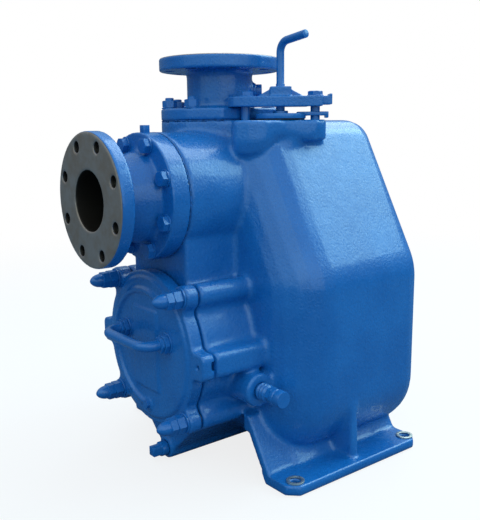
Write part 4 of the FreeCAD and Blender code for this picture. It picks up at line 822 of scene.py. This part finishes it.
class PUMP_OT_fittings(bpy.types.Operator):
    """Vent plug, tap plug, drain plug and the capped side nipple"""
    bl_idname = "pump.fittings"
    bl_label = "Plugs and fittings"

    def execute(self, context):
        edge = context.scene.pump.fasteners.edge
        paint = finish("smooth enamel")
        for name, part in (("vent_square_plug", "vent_plug"), ("tap_plug", "discharge_plug"),
                           ("drain_square_plug", "drain_plug")):
            machined(name, [part], paint, edge)
        along = facing((1.0, 0.0, 0.0), (0.0, -0.167, 0.170))
        barbs = [ring(0.012, 0.170), ring(0.012, 0.1885)]
        for step in range(3):
            start = 0.1885 + step * 0.0075
            barbs += [ring(0.0152, start + 0.001), ring(0.0156, start + 0.0030), ring(0.0122, start + 0.0062)]
        nipple = [barbs + [ring(0.0122, 0.212)], nut_rings(0.026, 0.2122, 0.221)]
        stacked_piece("side_nipple_piece", nipple, [along], ["side_nipple"], paint)
        cap = [ring(0.0128, 0.2212), ring(0.0145, 0.2225), ring(0.0145, 0.2285), ring(0.0128, 0.2305),
               ring(0.0145, 0.2320), ring(0.0145, 0.2440), ring(0.0138, 0.2458)]
        stacked_piece("side_cap_piece", [cap], [along], ["side_cap"], paint)
        return {"FINISHED"}


class PUMP_OT_drive_end(bpy.types.Operator):
    """Bearing housing, its cap and the fittings round the shaft"""
    bl_idname = "pump.drive_end"
    bl_label = "Drive end"

    def execute(self, context):
        edge = context.scene.pump.fasteners.edge
        paint = finish("smooth enamel")
        casting("bearing_barrel", ["bearing_housing"], finish("casting enamel"), 0.003, 20)
        machined("bearing_end_cap", ["bearing_cap"], paint, edge)
        machined("breather", ["oil_vent"], paint, edge)
        machined("gauge", ["sight_gauge"], finish("glass"), edge)
        machined("shaft", ["pump_shaft"], finish("steel"), edge * 0.5, "rotor")
        return {"FINISHED"}


class PUMP_OT_inner_parts(bpy.types.Operator):
    """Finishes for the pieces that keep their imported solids"""
    bl_idname = "pump.inner_parts"
    bl_label = "Inner parts"

    def execute(self, context):
        kept = {
            "zinc": ["cover_studs"],
            "rubber": ["fill_gasket", "valve_flap", "cover_o_ring", "oil_seal", "seal_bellows"],
            "painted seam": ["suction_gasket", "discharge_gasket"],
            "iron": ["impeller", "wear_plate", "seal_plate"],
            "steel": ["impeller_screw", "inboard_outer_race", "inboard_inner_race", "outboard_outer_race",
                      "outboard_inner_race", "valve_pin", "valve_weights", "seal_head", "seal_seat"],
        }
        for name, nodes in kept.items():
            for item in nodes:
                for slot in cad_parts[item].material_slots:
                    slot.material = finish(name)
        return {"FINISHED"}


def make_floor(settings):
    """A pale floor that keeps the pump's shadow and fades to plain white away from it."""
    plane = bmesh.new()
    bmesh.ops.create_grid(plane, x_segments=1, y_segments=1, size=14.0)
    floor = bpy.data.objects.new("floor", mesh_from(plane, "floor"))
    bpy.context.scene.collection.objects.link(floor)
    floor.data.transform(Matrix.Translation((0.0, 0.0, CAD_BOX[0][2] - 0.0005)))

    material, tree, shader, place = new_material("floor")
    shader.inputs["Base Color"].default_value = colour(settings.floor)
    shader.inputs["Roughness"].default_value = 0.9
    axes = split(tree, place)
    camera_sees = node(tree, "ShaderNodeLightPath", {}, {})[0]
    glow = tree.nodes.new("ShaderNodeEmission")
    glow.inputs["Color"].default_value = WHITE
    dark = tree.nodes.new("ShaderNodeBsdfDiffuse")
    dark.inputs["Color"].default_value = colour(settings.ground)
    away = ring_distance(tree, axes[0], axes[1])
    share = steps(tree, away, 0.8, 3.2) * (1.0 - settings.floor_glow) + settings.floor_glow
    shown = mixed_shaders(tree, share, shader.outputs[0], glow.outputs[0])
    both = mixed_shaders(tree, camera_sees, dark.outputs[0], shown)
    tree.links.new(both, tree.nodes["Material Output"].inputs["Surface"])
    floor.data.materials.append(material)


def make_sky(settings):
    """White for the camera, and a sky that is bright overhead for everything else."""
    world = bpy.data.worlds.new("sky")
    bpy.context.scene.world = world
    world.use_nodes = True
    tree = world.node_tree
    camera_sees = node(tree, "ShaderNodeLightPath", {}, {})[0]
    height = split(tree, node(tree, "ShaderNodeTexCoord", {}, {})[0])[2]
    rise = steps(tree, height, -0.15, 0.95)
    sky = mix_colour(tree, rise, colour(settings.horizon), colour(settings.zenith))
    background = tree.nodes["Background"]
    link(tree, mix_colour(tree, camera_sees, sky, WHITE), background, "Color")
    link(tree, camera_sees * (1.0 - settings.sky) + settings.sky, background, "Strength")


def make_lamp(name, spot, target, size, power, tint):
    """A rectangular lamp at a spot that shines towards a target."""
    data = bpy.data.lights.new(name, "AREA")
    data.shape, data.size, data.size_y = "RECTANGLE", size[0], size[1]
    data.energy, data.color = power, tint
    item = bpy.data.objects.new(name, data)
    item.matrix_world = facing(Vector(spot) - Vector(target), spot)
    bpy.context.scene.collection.objects.link(item)


def make_camera():
    """The camera that took the picture: to the right of the front, a little above the pump."""
    azimuth, pitch, roll = math.radians(51.66), math.radians(11.64), math.radians(-0.6)
    forward = Vector((-math.sin(azimuth) * math.cos(pitch), math.cos(azimuth) * math.cos(pitch),
                      -math.sin(pitch)))
    side = Vector((math.cos(azimuth), math.sin(azimuth), 0.0))
    up = side.cross(forward)
    right = side * math.cos(roll) + up * math.sin(roll)
    top = up * math.cos(roll) - side * math.sin(roll)
    camera = bpy.data.cameras.new("camera")
    camera.lens, camera.sensor_width = 49.05, 36.0
    camera.shift_x, camera.shift_y = -0.0116, 0.0291
    camera.clip_end = 60.0
    view = bpy.data.objects.new("camera", camera)
    turn = Matrix((right, top, -forward)).transposed().to_4x4()
    view.matrix_world = Matrix.Translation((1.08364, -0.90746, 0.61430)) @ turn
    bpy.context.scene.collection.objects.link(view)
    bpy.context.scene.camera = view


class PUMP_OT_stage(bpy.types.Operator):
    """Floor, lamps, sky and the camera"""
    bl_idname = "pump.stage"
    bl_label = "Stage"

    def execute(self, context):
        settings = context.scene.pump.stage
        make_floor(settings)
        make_sky(settings)
        # name, place, what it shines at, size, power and tint of each lamp
        make_lamp("panel", (1.26, 2.27, 2.40), (0.15, 0.0, 0.5), (2.5, 1.7), settings.panel,
                  (0.48, 0.90, 1.0))
        make_lamp("overhead", (-0.2, 1.5, 2.6), (0.0, 0.0, 0.5), (2.2, 2.0), settings.overhead,
                  (0.68, 0.92, 1.0))
        make_lamp("right", (3.0, -0.5, 1.35), (0.1, -0.1, 0.35), (3.2, 2.2), settings.right,
                  (0.62, 0.90, 1.0))
        make_lamp("front", (0.9, -2.6, 1.9), (0.0, -0.2, 0.35), (4.6, 3.2), settings.front,
                  (0.50, 0.88, 1.0))
        make_camera()
        context.scene.view_settings.view_transform = "Standard"
        return {"FINISHED"}


OPERATORS = (PUMP_OT_casing, PUMP_OT_adapters, PUMP_OT_cover, PUMP_OT_cover_fasteners,
             PUMP_OT_flange_fasteners, PUMP_OT_fill_port, PUMP_OT_fittings, PUMP_OT_drive_end,
             PUMP_OT_inner_parts, PUMP_OT_stage)
GROUPS = (PaintSettings, CastingSettings, FastenerSettings, StageSettings, PumpSettings)


class PUMP_PT_panel(bpy.types.Panel):
    """Lists the pump's pieces and its settings"""
    bl_label = "Pump"
    bl_idname = "PUMP_PT_panel"
    bl_space_type = "VIEW_3D"
    bl_region_type = "UI"
    bl_category = "Pump"

    def draw(self, context):
        for operator in OPERATORS:
            self.layout.operator(operator.bl_idname)
        for group in (context.scene.pump.paint, context.scene.pump.castings, context.scene.pump.fasteners,
                      context.scene.pump.stage):
            box = self.layout.box()
            for name in group.bl_rna.properties.keys():
                if name not in ("rna_type", "name"):
                    box.prop(group, name)


def register():
    for item in GROUPS + OPERATORS + (PUMP_PT_panel,):
        bpy.utils.register_class(item)
    bpy.types.Scene.pump = bpy.props.PointerProperty(type=PumpSettings)


def unregister():
    del bpy.types.Scene.pump
    for item in reversed(GROUPS + OPERATORS + (PUMP_PT_panel,)):
        bpy.utils.unregister_class(item)


def main():
    register()
    for operator in OPERATORS:
        group, name = operator.bl_idname.split(".")
        getattr(getattr(bpy.ops, group), name)()


if __name__ == "__main__":
    main()
